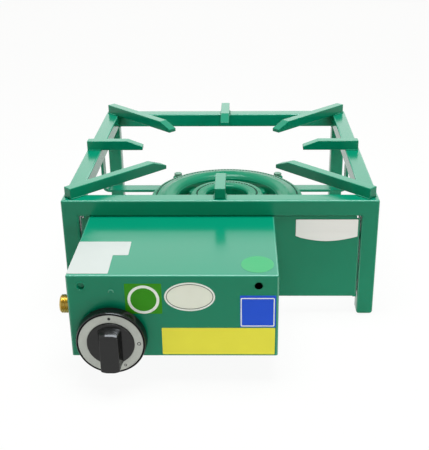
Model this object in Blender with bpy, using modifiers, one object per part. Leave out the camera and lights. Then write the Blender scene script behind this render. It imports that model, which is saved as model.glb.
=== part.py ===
# Countertop gas wok burner: welded square-tube frame, double-ring cast-iron burner, gas tap and knob.
# Units are metres, +Z is up, and the user stands at -Y. The origin is on the floor, under the middle
# of the whole object's bounding box.
import math

import bmesh
import bpy
from mathutils import Matrix, Vector

# Clearance between neighbouring pieces, and how far a cutter runs past the wall it cuts
GAP = 0.0003
OVERRUN = 0.002
MERGE = 0.00001

# Frame of square tube
FRAME_SIZE = 0.375
TUBE = 0.020
TUBE_WALL = 0.0015
TUBE_CORNER = 0.0023
RAIL_TOP = 0.1534
LEG_END_ROUND = 0.003
LEG_END_PLATE = 0.004

# Support bars that the wok rests on
BAR_WIDTH = 0.0125
BAR_HEIGHT = 0.013
BAR_EDGE = 0.0007
TIP_RADIUS = 0.107
NOSE_LENGTH = 0.021
NOSE_TIP = 0.005
SIDE_BAR_SETBACK = 0.001
CORNER_BAR_SETBACK = 0.0106

# Cross straps that carry the burner
STRAP_WIDTH = 0.020
STRAP_THICKNESS = 0.004
STRAP_TOP = 0.0635
STRAP_INSET = 0.003
STRAP_BEND = 0.012

# Front panel between the front legs
PANEL_SETBACK = 0.003
PANEL_SIDE_GAP = 0.0022
PANEL_TOP_GAP = 0.0006
PANEL_BOTTOM = 0.024
SHEET = 0.0015
SHEET_BEND = 0.002
PANEL_FLANGE = 0.012
NOTCH_WIDTH = 0.0045
NOTCH_HEIGHT = 0.0035
WELD_TAB_LOW = 0.047
WELD_TAB_HEIGHT = 0.022

# Control box on the panel: its left side stands in from the frame's left side
BOX_SIDE_INSET = 0.0318
BOX_WIDTH = 0.2198
BOX_DEPTH = 0.1472
BOX_TOP_GAP = 0.0034
BOX_HEIGHT = 0.096
BOX_FLANGE = 0.012
BOX_HOLE_RADIUS = 0.0044
BOX_HOLE_LEFT_INSET = 0.0152
BOX_HOLE_RIGHT_INSET = 0.0210
BOX_HOLE_DROP = 0.0122
PLUG_RIM_RADIUS = 0.0054
PLUG_RIM_THICKNESS = 0.0006
PLUG_DISH = 0.0012
PLUG_DEPTH = 0.004
PLUG_WALL = 0.0008

# Holes for the small screws: radius of the screw's shank and head, clearance, and depth of a tapped hole
SCREW_SHANK = 0.0019
SCREW_HEAD = 0.0035
SCREW_CLEARANCE = 0.0004
TAPPED_DEPTH = 0.002

# Burner: the two rings, measured from the burner's own axis
BURNER_X = 0.0045
OUTER_RIM = 0.1064
OUTER_INNER = 0.070
OUTER_LIP_Z = 0.0835
OUTER_BOTTOM_Z = 0.0675
INNER_RIM = 0.0506
INNER_HOLE = 0.0290
INNER_LIP_Z = 0.0860
INNER_BOTTOM_Z = 0.0655
CAST_WALL = 0.0042
CAST_FLOOR = 0.0045
CAST_DRAFT = 0.0022
RIM_HEIGHT = 0.0042
ARM_COUNT = 4
ARM_WIDTH = 0.018
ARM_BOTTOM_Z = 0.0585
ARM_TOP_Z = 0.0775
ARM_EDGE = 0.004
LUG_RADIUS_FROM_AXIS = 0.1128
LUG_ANGLE = 48.4
LUG_RADIUS = 0.0078
LUG_TOP_Z = 0.0822
BOLT_SHANK = 0.0030
BOLT_CLEARANCE = 0.0004
BOLT_HEAD_ACROSS = 0.010
BOLT_HEAD_HEIGHT = 0.0042
NUT_HEIGHT = 0.005
BOLT_END = 0.0015

# Crown rings with the drilled ports
CROWN_INSET = 0.0032
OUTER_CROWN_TOP_Z = 0.0905
OUTER_CROWN_EDGE = 0.0012
OUTER_PORT_COUNT = 132
PORT_RADIUS = 0.0012
PORT_SIDES = 4
CROWN_WALL = 0.0030
OUTER_CONE_RADIUS = 0.090
OUTER_CONE_Z = 0.0894
OUTER_CREST_RADIUS = 0.084
OUTER_SHOULDER_RADIUS = 0.0765
INNER_CROWN_INSET = 0.0013
INNER_CROWN_TOP_Z = 0.0907
INNER_CROWN_EDGE = 0.0009
INNER_CONE_RADIUS = 0.0355
INNER_CONE_Z = 0.0903
INNER_PORT_COUNT = 60
CROWN_ROUND = 0.0035
CREST_DROP_SHARE = 0.2
INNER_CORNER_SHARE = 1.2
GROOVE_CORNER_SHARE = 0.3
GROOVE_ROOF_SHARE = 1.2
GROOVE_CONE_SHARE = 0.3
GROOVE_SEAT_SHARE = 1.1
INNER_CREST_SHARE = 0.6
INNER_CREST_DROP_SHARE = 0.9
INNER_SEAT_SHARE = 1.2

# Feed: riser under the inner ring, socket towards the front, and the mixing tube
FEED_Z = 0.0415
RISER_Y = -0.0385
RISER_RADIUS = 0.0165
RISER_FOOT_SHARES = ((1.0, 0.7), (0.75, 0.2))
SOCKET_RADIUS = 0.0170
SOCKET_BORE = 0.0130
FLANGE_HALF_WIDTH = 0.029
FLANGE_HALF_HEIGHT = 0.0175
FLANGE_CORNER_SHARE = 0.75
FLANGE_THICKNESS = 0.006
FLANGE_BOLT_X = 0.0225
MOUTH_TO_PANEL = 0.0245
MIXING_LENGTH = 0.062
THROAT_RADIUS = 0.0145
THROAT_WALL = 0.0035
MOUTH_RADIUS = 0.0215
MOUTH_WALL = 0.0030
MOUTH_LENGTH = 0.016
AIR_WINDOW_COUNT = 4
AIR_WINDOW_START = 45.0
AIR_WINDOW_ANGLE = 40.0
AIR_WINDOW_LENGTH = 0.008
AIR_WINDOW_INSET = 0.004
SHUTTER_WALL = 0.0015
SHUTTER_LENGTH = 0.014
SHUTTER_SCREW_RADIUS = 0.002
SHUTTER_SCREW_HEAD = 0.0035
SHUTTER_SCREW_TOP = 0.0080
INJECTOR_THREAD = 0.0060
INJECTOR_HEX = 0.015
INJECTOR_HEX_LENGTH = 0.008
INJECTOR_NOSE = 0.012
INJECTOR_NOSE_SHARE = 0.6
INJECTOR_BORE = 0.0010
PIPE_NUT_HEX = 0.016
PIPE_NUT_LENGTH = 0.010
PIPE_RADIUS = 0.0050
PIPE_BEND = 0.030
BEND_HANDLE_SHARE = 0.55
HANDLE_SHARE = 1 / 3
PANEL_PIPE_CLEARANCE = 0.0012

# Knob and its dial ring; depths are measured outwards from the box's front face
KNOB_INSET = 0.0445
KNOB_ABOVE_BOTTOM = 0.0232
SKIRT_BACK = 0.0036
SKIRT_BACK_RADIUS = 0.0375
SKIRT_FRONT_RADIUS = 0.0358
SKIRT_WALL = 0.0022
SKIRT_ROUND = 0.0008
DIAL_FRONT = 0.0138
DIAL_THICKNESS = 0.0008
DIAL_OUTER = 0.0344
DIAL_INNER = 0.0250
DISC_THICKNESS = 0.0022
BODY_RADIUS = 0.0246
BODY_FRONT = 0.0157
BODY_ROUND = 0.0007
GRIP_FRONT = 0.0277
GRIP_ROOT_HALF_WIDTH = 0.0125
GRIP_TOP_HALF_WIDTH = 0.0090
GRIP_TAIL_HALF_WIDTH = 0.0101
GRIP_ROOT_TOP = 0.0235
GRIP_ROOT_TAIL = -0.0240
GRIP_FRONT_TOP = 0.0170
GRIP_FRONT_TAIL = -0.0280
GRIP_EDGE = 0.0012
HUB_RADIUS = 0.0080
HUB_BACK = 0.0062
KNOB_TRAVEL = 0.003

# Gas tap; depths are measured inwards from the box's front face
NECK_RADIUS = 0.0060
NECK_OUT = 0.0004
BONNET_HALF_LENGTH = 0.023
BONNET_HALF_HEIGHT = 0.0095
BONNET_CORNER_SHARE = 0.9
BONNET_THICKNESS = 0.003
BONNET_SCREW_X = 0.0165
STEM_RADIUS = 0.0040
STEM_FLAT = 0.0029
STEM_TIP = 0.0136
STEM_FLAT_LENGTH = 0.0090
COLLAR_RADIUS = 0.0062
COLLAR_THICKNESS = 0.0020
DRIVE_WIDTH = 0.0050
TAP_RADIUS = 0.0125
TAP_CHAMBER_RADIUS = 0.0085
TAP_CHAMBER_END = 0.0150
TAP_FRONT_LENGTH = 0.0085
TAP_REAR_RADIUS = 0.0082
TAP_LENGTH = 0.046
TAP_PLUG_FRONT = 0.0062
TAP_PLUG_REAR = 0.0048
TAP_PLUG_LENGTH = 0.020
TAP_PORT_SHARE = 0.4
TAP_PORT_DEPTH_SHARE = 0.75
SPRING_WIRE = 0.0005
SPRING_RADIUS = 0.0056
SPRING_TURNS = 4
SPRING_POINTS = 8
OUTLET_BOSS_RADIUS = 0.0070
OUTLET_BOSS_LENGTH = 0.008
OUTLET_DEPTH = 0.022
OUTLET_SOCKET_DEPTH = 0.004

# Gas inlet, manifold pipe and the clamp that holds the tap on it
INLET_DEPTH = 0.0408
INLET_ABOVE_KNOB = 0.0172
INLET_RADIUS = 0.0104775
INLET_OUT = 0.0168
INLET_BORE = 0.0075
INLET_CHAMFER = 0.0014
INLET_SHOULDER_HEX = 0.024
INLET_SHOULDER_LENGTH = 0.008
LOCKNUT_LENGTH = 0.006
MANIFOLD_RADIUS = 0.0086
MANIFOLD_BORE = 0.0062
MANIFOLD_PAST_TAP = 0.0212
SADDLE_HALF_WIDTH = 0.009
SADDLE_HALF_LENGTH = 0.0185
CLAMP_THICKNESS = 0.0025
CLAMP_HALF_WIDTH = 0.0085
CLAMP_SCREW_OFFSET = 0.0148

# Flame failure device
MAGNET_RADIUS = 0.0055
MAGNET_LENGTH = 0.016
MAGNET_NUT_HEX = 0.009
MAGNET_NUT_LENGTH = 0.006
LEAD_RADIUS = 0.0012
PROBE_RADIUS = 0.0030
PROBE_ANGLE = 205.0
PROBE_RADIUS_FROM_AXIS = 0.112
PROBE_LOW_Z = 0.055
PROBE_TOP_Z = 0.092
LEAD_DROP = 0.020
PROBE_TIP_ROUND = 0.0015
BRACKET_WIDTH = 0.012
BRACKET_LAP_SHARE = 0.33
BRACKET_THICKNESS = 0.0015

# Facets of round pieces
RING_STEPS = 44
INNER_RING_STEPS = 32
KNOB_STEPS = 36
ROUND_STEPS = 20
SMALL_STEPS = 12
SCREW_STEPS = 8
ARC_STEPS = 2
CLAMP_ARC_STEPS = 10
SHEET_BEND_STEPS = 3

# Share of a normal that makes a face count as facing one way
FACING_SHARE = 0.9

# Places that follow from the sizes above
RAIL_BOTTOM = RAIL_TOP - TUBE
HALF = FRAME_SIZE / 2
LEG_CENTRE = HALF - TUBE / 2
PANEL_FRONT = -HALF + PANEL_SETBACK
PANEL_TOP = RAIL_BOTTOM - PANEL_TOP_GAP
PANEL_HALF_WIDTH = HALF - TUBE - PANEL_SIDE_GAP
BOX_LEFT = -HALF + BOX_SIDE_INSET
BOX_RIGHT = BOX_LEFT + BOX_WIDTH
BOX_REAR = PANEL_FRONT - GAP
BOX_FRONT = BOX_REAR - BOX_DEPTH
BOX_TOP = RAIL_BOTTOM - BOX_TOP_GAP
BOX_BOTTOM = BOX_TOP - BOX_HEIGHT
BOX_INSIDE = BOX_FRONT + SHEET
BOX_HOLE_LEFT_X = BOX_LEFT + BOX_HOLE_LEFT_INSET
BOX_HOLE_RIGHT_X = BOX_RIGHT - BOX_HOLE_RIGHT_INSET
BOX_HOLE_Z = BOX_TOP - BOX_HOLE_DROP
KNOB_X = BOX_LEFT + KNOB_INSET
KNOB_Z = BOX_BOTTOM + KNOB_ABOVE_BOTTOM
INLET_Z = KNOB_Z + INLET_ABOVE_KNOB
MANIFOLD_END_X = KNOB_X + MANIFOLD_PAST_TAP
TUBE_END_Y = PANEL_FRONT + MOUTH_TO_PANEL
JOINT_Y = TUBE_END_Y + MIXING_LENGTH
STRAP_HALF_SPAN = HALF - STRAP_INSET
LUG_X = LUG_RADIUS_FROM_AXIS * math.cos(math.radians(LUG_ANGLE))
LUG_Y = LUG_RADIUS_FROM_AXIS * math.sin(math.radians(LUG_ANGLE))
STRAP_Y = LUG_Y
FRONT_REACH = -BOX_FRONT + GRIP_FRONT
FRAME_CENTRE_Y = (FRONT_REACH - HALF) / 2
INLET_Y = BOX_FRONT + INLET_DEPTH
TAP_BACK = BOX_INSIDE + GAP + BONNET_THICKNESS + GAP

# Colours: red, green, blue, roughness, metallic
PAINT = ((0.012, 0.235, 0.125), 0.38, 0.0)
CAST_PAINT = ((0.014, 0.270, 0.145), 0.45, 0.0)
BLACK = ((0.012, 0.013, 0.012), 0.45, 0.0)
SILVER = ((0.58, 0.60, 0.56), 0.35, 0.9)
BRASS = ((0.72, 0.50, 0.15), 0.28, 1.0)
STEEL = ((0.55, 0.56, 0.57), 0.32, 1.0)
COPPER = ((0.75, 0.38, 0.24), 0.30, 1.0)
ZINC = ((0.62, 0.62, 0.58), 0.40, 1.0)

# How a local outline (x, y) and its depth z lie in the world
ALONG_X = Matrix(((0, 0, 1, 0), (1, 0, 0, 0), (0, 1, 0, 0), (0, 0, 0, 1)))
ALONG_Y = Matrix(((1, 0, 0, 0), (0, 0, -1, 0), (0, 1, 0, 0), (0, 0, 0, 1)))
ALONG_Z = Matrix.Identity(4)
# How a turned shape's axis +Z lies in the world
AXIS_BACK = Matrix.Rotation(math.radians(-90), 4, "X")
AXIS_FRONT = Matrix.Rotation(math.radians(90), 4, "X")
AXIS_LEFT = Matrix.Rotation(math.radians(-90), 4, "Y")
AXIS_RIGHT = Matrix.Rotation(math.radians(90), 4, "Y")


def start():
    """Empty the file and make the collection that holds the parts."""
    for old in list(bpy.data.objects):
        bpy.data.objects.remove(old)
    parts = bpy.data.collections.new("wok_burner")
    bpy.context.scene.collection.children.link(parts)
    return parts


PARTS = start()


def material(name, look):
    colour, roughness, metallic = look
    made = bpy.data.materials.new(name)
    made.use_nodes = True
    shader = made.node_tree.nodes["Principled BSDF"]
    shader.inputs["Base Color"].default_value = (*colour, 1.0)
    shader.inputs["Roughness"].default_value = roughness
    shader.inputs["Metallic"].default_value = metallic
    return made


def new_object(name, mesh):
    made = bpy.data.objects.new(name, mesh)
    PARTS.objects.link(made)
    return made


def bake(thing):
    """Turn an object with modifiers, or a curve, into a plain closed mesh object."""
    bpy.context.view_layer.update()
    graph = bpy.context.evaluated_depsgraph_get()
    mesh = bpy.data.meshes.new_from_object(thing.evaluated_get(graph))
    shape = bmesh.new()
    shape.from_mesh(mesh)
    bmesh.ops.remove_doubles(shape, verts=shape.verts, dist=MERGE)
    bmesh.ops.dissolve_degenerate(shape, dist=MERGE, edges=shape.edges)
    bare = [edge for edge in shape.edges if not edge.link_faces]
    bmesh.ops.delete(shape, geom=bare, context="EDGES")
    bmesh.ops.recalc_face_normals(shape, faces=shape.faces)
    shape.to_mesh(mesh)
    shape.free()
    name = thing.name
    place = thing.matrix_world.copy()
    bpy.data.objects.remove(thing)
    made = new_object(name, mesh)
    made.matrix_world = place
    return made


def move(thing, matrix):
    thing.data.transform(matrix)
    return thing


def shift(x=0.0, y=0.0, z=0.0):
    return Matrix.Translation(Vector((x, y, z)))


def turn_z(degrees):
    return Matrix.Rotation(math.radians(degrees), 4, "Z")


def combine(target, tool, operation="DIFFERENCE"):
    """Cut, join or intersect two meshes and drop the tool."""
    step = target.modifiers.new(operation.lower(), "BOOLEAN")
    step.object = tool
    step.operation = operation
    step.solver = "EXACT"
    name = target.name
    made = bake(target)
    bpy.data.objects.remove(tool)
    made.name = name
    return made


def cut(target, *tools):
    for tool in tools:
        target = combine(target, tool)
    return target


def join(target, *tools):
    for tool in tools:
        target = combine(target, tool, "UNION")
    return target


def rounded(points, radii, steps=ARC_STEPS):
    """Replace each corner of a closed outline by an arc of the given radius."""
    outline = []
    count = len(points)
    for index, point in enumerate(points):
        radius = radii[index] if isinstance(radii, (list, tuple)) else radii
        corner = Vector(point)
        if radius == 0:
            outline.append(corner)
            continue
        before = (Vector(points[index - 1]) - corner).normalized()
        after = (Vector(points[(index + 1) % count]) - corner).normalized()
        half = before.angle(after) / 2
        reach = radius / math.tan(half)
        centre = corner + (before + after).normalized() * (radius / math.sin(half))
        first = corner + before * reach - centre
        last = corner + after * reach - centre
        sweep = first.angle_signed(last)
        for step in range(steps + 1):
            outline.append(centre + Matrix.Rotation(-sweep * step / steps, 2) @ first)
    return outline


def rectangle(half_x, half_y, radius=0.0, centre=(0.0, 0.0), steps=ARC_STEPS):
    cx, cy = centre
    corners = [
        (cx - half_x, cy - half_y),
        (cx + half_x, cy - half_y),
        (cx + half_x, cy + half_y),
        (cx - half_x, cy + half_y),
    ]
    return rounded(corners, radius, steps)


def polygon(sides, radius, centre=(0.0, 0.0), start_angle=0.0):
    cx, cy = centre
    points = []
    for index in range(sides):
        angle = start_angle + 2 * math.pi * index / sides
        points.append((cx + radius * math.cos(angle), cy + radius * math.sin(angle)))
    return points


def plate(name, loops, thickness, lie=ALONG_Z):
    """A flat outline with holes, as thick as asked, centred on its own plane."""
    curve = bpy.data.curves.new(name, "CURVE")
    curve.dimensions = "2D"
    curve.fill_mode = "BOTH"
    curve.extrude = thickness / 2
    for loop in loops:
        spline = curve.splines.new("POLY")
        spline.points.add(len(loop) - 1)
        for point, spot in zip(spline.points, loop):
            point.co = (spot[0], spot[1], 0, 1)
        spline.use_cyclic_u = True
    made = bake(new_object(name, curve))
    return move(made, lie)


def block(name, low, high):
    """A box between two corners."""
    shape = bmesh.new()
    bmesh.ops.create_cube(shape, size=1)
    size = [b - a for a, b in zip(low, high)]
    middle = [(a + b) / 2 for a, b in zip(low, high)]
    bmesh.ops.scale(shape, vec=size, verts=shape.verts)
    bmesh.ops.translate(shape, vec=middle, verts=shape.verts)
    mesh = bpy.data.meshes.new(name)
    shape.to_mesh(mesh)
    shape.free()
    return new_object(name, mesh)


def rod(name, radius, low, high, steps=ROUND_STEPS, lie=ALONG_Z):
    """A cylinder along local Z between two heights."""
    shape = bmesh.new()
    bmesh.ops.create_cone(
        shape, cap_ends=True, segments=steps, radius1=radius, radius2=radius, depth=high - low
    )
    bmesh.ops.translate(shape, vec=(0, 0, (low + high) / 2), verts=shape.verts)
    mesh = bpy.data.meshes.new(name)
    shape.to_mesh(mesh)
    shape.free()
    return move(new_object(name, mesh), lie)


def turned(name, profile, steps=ROUND_STEPS, lie=ALONG_Z, closed=True):
    """Turn a profile of (radius, height) points about local Z."""
    shape = bmesh.new()
    corners = [shape.verts.new((radius, 0, height)) for radius, height in profile]
    pairs = list(zip(corners, corners[1:]))
    if closed:
        pairs.append((corners[-1], corners[0]))
    for pair in pairs:
        shape.edges.new(pair)
    mesh = bpy.data.meshes.new(name)
    shape.to_mesh(mesh)
    shape.free()
    made = new_object(name, mesh)
    screw = made.modifiers.new("turn", "SCREW")
    screw.steps = steps
    screw.render_steps = steps
    screw.use_merge_vertices = True
    screw.merge_threshold = MERGE
    return move(bake(made), lie)


def solid_of_turn(name, profile, steps=ROUND_STEPS, lie=ALONG_Z):
    """Turn a profile that starts and ends on the axis."""
    return turned(name, profile, steps, lie, closed=False)


def bevel(thing, width, segments=2, angle=30):
    step = thing.modifiers.new("edges", "BEVEL")
    step.width = width
    step.segments = segments
    step.limit_method = "ANGLE"
    step.angle_limit = math.radians(angle)
    name = thing.name
    made = bake(thing)
    made.name = name
    return made


def pipe(name, points, radius, sides=2, resolution=6):
    """A round pipe through the given Bezier points."""
    curve = bpy.data.curves.new(name, "CURVE")
    curve.dimensions = "3D"
    curve.bevel_depth = radius
    curve.bevel_resolution = sides
    curve.use_fill_caps = True
    curve.resolution_u = resolution
    curve.render_resolution_u = resolution
    spline = curve.splines.new("BEZIER")
    spline.bezier_points.add(len(points) - 1)
    for knot, (spot, before, after) in zip(spline.bezier_points, points):
        knot.co = spot
        knot.handle_left_type = "FREE"
        knot.handle_right_type = "FREE"
        knot.handle_left = before
        knot.handle_right = after
    return bake(new_object(name, curve))


def finish(thing, name, look, angle=35):
    """Name the piece, give it its material and shade it by angle."""
    thing.name = name
    thing.data.name = name
    thing.data.materials.clear()
    thing.data.materials.append(material(name, look))
    thing.data.shade_smooth()
    thing.data.set_sharp_from_angle(angle=math.radians(angle))
    return thing


def hexagon(across):
    return polygon(6, across / math.sqrt(3))


# Frame


def make_rail(name, degrees):
    """One mitred rail, built along the rear side and turned into place."""
    outside = rectangle(TUBE / 2, TUBE / 2, TUBE_CORNER)
    inside = rectangle(TUBE / 2 - TUBE_WALL, TUBE / 2 - TUBE_WALL, TUBE_CORNER - TUBE_WALL, steps=1)
    rail = plate(name, [outside, inside], FRAME_SIZE, ALONG_X)
    move(rail, shift(y=HALF - TUBE / 2, z=RAIL_TOP - TUBE / 2))
    for side in (-1, 1):
        corner = side * (HALF - GAP / math.sqrt(2))
        reach = side * FRAME_SIZE
        triangle = [
            (corner, HALF + OVERRUN),
            (corner - reach, HALF + OVERRUN - FRAME_SIZE),
            (corner + reach, HALF + OVERRUN - FRAME_SIZE),
            (corner + reach, HALF + OVERRUN),
        ]
        triangle = [(x + side * OVERRUN, y) for x, y in triangle]
        wedge = plate("wedge", [triangle], TUBE + OVERRUN)
        rail = cut(rail, move(wedge, shift(z=RAIL_TOP - TUBE / 2)))
    return finish(move(rail, turn_z(degrees)), name, PAINT)


def make_leg(name, side_x, side_y):
    """A square-tube leg with a welded, rounded end plate at the floor."""
    top = RAIL_BOTTOM - GAP
    leg = plate(name, [rectangle(TUBE / 2, TUBE / 2, TUBE_CORNER)], top)
    move(leg, shift(z=top / 2))
    step = leg.modifiers.new("floor_edges", "BEVEL")
    step.width = LEG_END_ROUND
    step.segments = 1
    step.limit_method = "WEIGHT"
    weights = leg.data.attributes.new("bevel_weight_edge", "FLOAT", "EDGE")
    for edge in leg.data.edges:
        low = max(leg.data.vertices[corner].co.z for corner in edge.vertices)
        weights.data[edge.index].value = 1.0 if low < MERGE else 0.0
    leg = bake(leg)
    hollow = TUBE / 2 - TUBE_WALL
    bore = plate("bore", [rectangle(hollow, hollow)], top)
    leg = cut(leg, move(bore, shift(z=top / 2 + LEG_END_PLATE)))
    return finish(move(leg, shift(side_x * LEG_CENTRE, side_y * LEG_CENTRE)), name, PAINT)


def make_support(name, degrees, outer):
    """A support bar: flat on top, with its nose sloping down to a blunt tip."""
    side = [
        (TIP_RADIUS, 0.0),
        (outer, 0.0),
        (outer, BAR_HEIGHT),
        (TIP_RADIUS + NOSE_LENGTH, BAR_HEIGHT),
        (TIP_RADIUS, NOSE_TIP),
    ]
    bar = plate(name, [side], BAR_WIDTH, ALONG_Y)
    bar = bevel(bar, BAR_EDGE, 1)
    move(bar, shift(z=RAIL_TOP + GAP))
    return finish(move(bar, turn_z(degrees)), name, PAINT)


def make_strap(name, side_y):
    """A flat bar bent up at both ends, welded under the side rails, with two bolt holes."""
    end = RAIL_BOTTOM - GAP
    low = STRAP_TOP - STRAP_THICKNESS
    inside = STRAP_HALF_SPAN - STRAP_THICKNESS
    outline = [
        (-STRAP_HALF_SPAN, end),
        (-STRAP_HALF_SPAN, low),
        (STRAP_HALF_SPAN, low),
        (STRAP_HALF_SPAN, end),
        (inside, end),
        (inside, STRAP_TOP),
        (-inside, STRAP_TOP),
        (-inside, end),
    ]
    inner_bend = STRAP_BEND - STRAP_THICKNESS
    bends = [0, STRAP_BEND, STRAP_BEND, 0, 0, inner_bend, inner_bend, 0]
    strap = plate(name, [rounded(outline, bends, 4)], STRAP_WIDTH, ALONG_Y)
    move(strap, shift(y=side_y * STRAP_Y))
    for side_x in (-1, 1):
        hole = rod("hole", BOLT_SHANK + BOLT_CLEARANCE, low - OVERRUN, STRAP_TOP + OVERRUN, SCREW_STEPS)
        strap = cut(strap, move(hole, shift(BURNER_X + side_x * LUG_X, side_y * STRAP_Y)))
    return finish(strap, name, PAINT)


def open_tray(name, low, high, drop_faces, bent_edges):
    """A folded sheet: a box with some faces left out, its edges bent round, thickened inwards."""
    tray = block(name, low, high)
    shape = bmesh.new()
    shape.from_mesh(tray.data)
    shape.edges.ensure_lookup_table()
    edges = [edge for edge in shape.edges if bent_edges(edge)]
    bmesh.ops.bevel(
        shape, geom=edges, offset=SHEET_BEND, segments=SHEET_BEND_STEPS, profile=0.5, affect="EDGES"
    )
    gone = [face for face in shape.faces if drop_faces(face.normal)]
    bmesh.ops.delete(shape, geom=gone, context="FACES")
    bmesh.ops.recalc_face_normals(shape, faces=shape.faces)
    shape.to_mesh(tray.data)
    shape.free()
    wall = tray.modifiers.new("sheet", "SOLIDIFY")
    wall.thickness = SHEET
    wall.offset = -1
    wall.use_even_offset = True
    return bake(tray)


def touches(edge, axis, value):
    return all(abs(corner.co[axis] - value) < MERGE for corner in edge.verts)


def panel_screw_spots():
    """Where the box's rear flanges are screwed to the panel, as (x, z)."""
    inset = BOX_FLANGE / 2 + SHEET
    low = BOX_BOTTOM + BOX_FLANGE + SHEET + SCREW_HEAD
    high = BOX_TOP - BOX_FLANGE - SHEET
    return [(x, z) for x in (BOX_LEFT + inset, BOX_RIGHT - inset) for z in (low, high)]


def lead_spot():
    """Where the thermocouple lead passes the panel, as (x, z)."""
    return KNOB_X, KNOB_Z


def make_front_panel():
    rear = PANEL_FRONT + PANEL_FLANGE
    low = (-PANEL_HALF_WIDTH, PANEL_FRONT, PANEL_BOTTOM)
    high = (PANEL_HALF_WIDTH, rear, PANEL_TOP)
    panel = open_tray(
        "front_panel", low, high, lambda n: n.y > 0.9, lambda e: touches(e, 1, PANEL_FRONT)
    )
    for side in (-1, 1):
        for end, inward in ((PANEL_TOP, -1), (PANEL_BOTTOM, 1)):
            x = side * PANEL_HALF_WIDTH
            corner = sorted((x + side * OVERRUN, x - side * NOTCH_WIDTH))
            height = sorted((end - inward * OVERRUN, end + inward * NOTCH_HEIGHT))
            notch = block(
                "notch",
                (corner[0], PANEL_FRONT - OVERRUN, height[0]),
                (corner[1], rear + OVERRUN, height[1]),
            )
            panel = cut(panel, notch)
        reach = sorted((side * (HALF - TUBE - GAP), side * (PANEL_HALF_WIDTH - SHEET)))
        tab = block(
            "tab",
            (reach[0], PANEL_FRONT + SHEET_BEND, WELD_TAB_LOW),
            (reach[1], PANEL_FRONT + SHEET_BEND + SHEET, WELD_TAB_LOW + WELD_TAB_HEIGHT),
        )
        panel = join(panel, tab)
    holes = []
    for x, z in panel_screw_spots():
        holes.append((x, z, SCREW_SHANK + SCREW_CLEARANCE, SCREW_STEPS))
    holes.append((BURNER_X, FEED_Z, PIPE_RADIUS + PANEL_PIPE_CLEARANCE, SMALL_STEPS))
    x, z = lead_spot()
    holes.append((x, z, LEAD_RADIUS + PANEL_PIPE_CLEARANCE, SCREW_STEPS))
    for x, z, radius, steps in holes:
        drill = rod("drill", radius, -OVERRUN, SHEET + OVERRUN, steps, AXIS_BACK)
        panel = cut(panel, move(drill, shift(x, PANEL_FRONT, z)))
    return finish(panel, "front_panel", PAINT)


def cover_screw_spots():
    """Where the bottom cover is screwed to the box's bottom flanges, as (x, y)."""
    inset = BOX_FLANGE / 2 + SHEET
    near = BOX_FRONT + inset + SHEET_BEND
    far = BOX_REAR - BOX_FLANGE
    return [(x, y) for x in (BOX_LEFT + inset, BOX_RIGHT - inset) for y in (near, far)]


def make_control_box():
    """A folded shell: top, front and sides, with flanges inwards for the panel and the cover."""
    low = (BOX_LEFT, BOX_FRONT, BOX_BOTTOM)
    high = (BOX_RIGHT, BOX_REAR, BOX_TOP)

    def bent(edge):
        front = touches(edge, 1, BOX_FRONT) and not touches(edge, 2, BOX_BOTTOM)
        top = touches(edge, 2, BOX_TOP) and not touches(edge, 1, BOX_REAR)
        return front or top

    box = open_tray("control_box", low, high, lambda n: n.y > FACING_SHARE or n.z < -FACING_SHARE, bent)
    flange_z = BOX_BOTTOM + SHEET + GAP
    for side, wall in ((1, BOX_LEFT), (-1, BOX_RIGHT)):
        span = sorted((wall + side * SHEET / 2, wall + side * (SHEET + BOX_FLANGE)))
        rear_flange = block(
            "flange",
            (span[0], BOX_REAR - SHEET, flange_z + SHEET + GAP),
            (span[1], BOX_REAR, BOX_TOP - SHEET / 2),
        )
        floor_flange = block(
            "flange",
            (span[0], BOX_FRONT + SHEET / 2, flange_z),
            (span[1], BOX_REAR - SHEET - GAP, flange_z + SHEET),
        )
        box = join(box, rear_flange, floor_flange)
    face = AXIS_BACK
    front_holes = [
        (BOX_HOLE_LEFT_X, BOX_HOLE_Z, BOX_HOLE_RADIUS, SMALL_STEPS),
        (BOX_HOLE_RIGHT_X, BOX_HOLE_Z, BOX_HOLE_RADIUS, SMALL_STEPS),
        (KNOB_X, KNOB_Z, NECK_RADIUS + GAP, SMALL_STEPS),
        (KNOB_X - BONNET_SCREW_X, KNOB_Z, SCREW_SHANK + SCREW_CLEARANCE, SCREW_STEPS),
        (KNOB_X + BONNET_SCREW_X, KNOB_Z, SCREW_SHANK + SCREW_CLEARANCE, SCREW_STEPS),
    ]
    for x, z, radius, steps in front_holes:
        drill = rod("drill", radius, -OVERRUN, SHEET + OVERRUN, steps, face)
        box = cut(box, move(drill, shift(x, BOX_FRONT, z)))
    for x, z in panel_screw_spots():
        drill = rod("drill", SCREW_SHANK + SCREW_CLEARANCE, -OVERRUN - SHEET, OVERRUN, SCREW_STEPS, face)
        box = cut(box, move(drill, shift(x, BOX_REAR, z)))
    for x, y in cover_screw_spots():
        drill = rod("drill", SCREW_SHANK + SCREW_CLEARANCE, -OVERRUN, SHEET + OVERRUN, SCREW_STEPS)
        box = cut(box, move(drill, shift(x, y, flange_z)))
    inlet = rod("drill", INLET_RADIUS + GAP, -OVERRUN, SHEET + OVERRUN, ROUND_STEPS, AXIS_RIGHT)
    box = cut(box, move(inlet, shift(BOX_LEFT, INLET_Y, INLET_Z)))
    return finish(box, "control_box", PAINT)


def make_bottom_cover():
    inset = SHEET + GAP
    half_x = (BOX_RIGHT - BOX_LEFT) / 2 - inset
    half_y = (BOX_REAR - BOX_FRONT - inset) / 2
    middle = ((BOX_LEFT + BOX_RIGHT) / 2, BOX_FRONT + inset + half_y)
    loops = [rectangle(half_x, half_y, 0.0, middle)]
    for spot in cover_screw_spots():
        loops.append(polygon(SCREW_STEPS, SCREW_SHANK + SCREW_CLEARANCE, spot))
    cover = plate("bottom_cover", loops, SHEET)
    return finish(move(cover, shift(z=BOX_BOTTOM + SHEET / 2)), "bottom_cover", ZINC)


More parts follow.
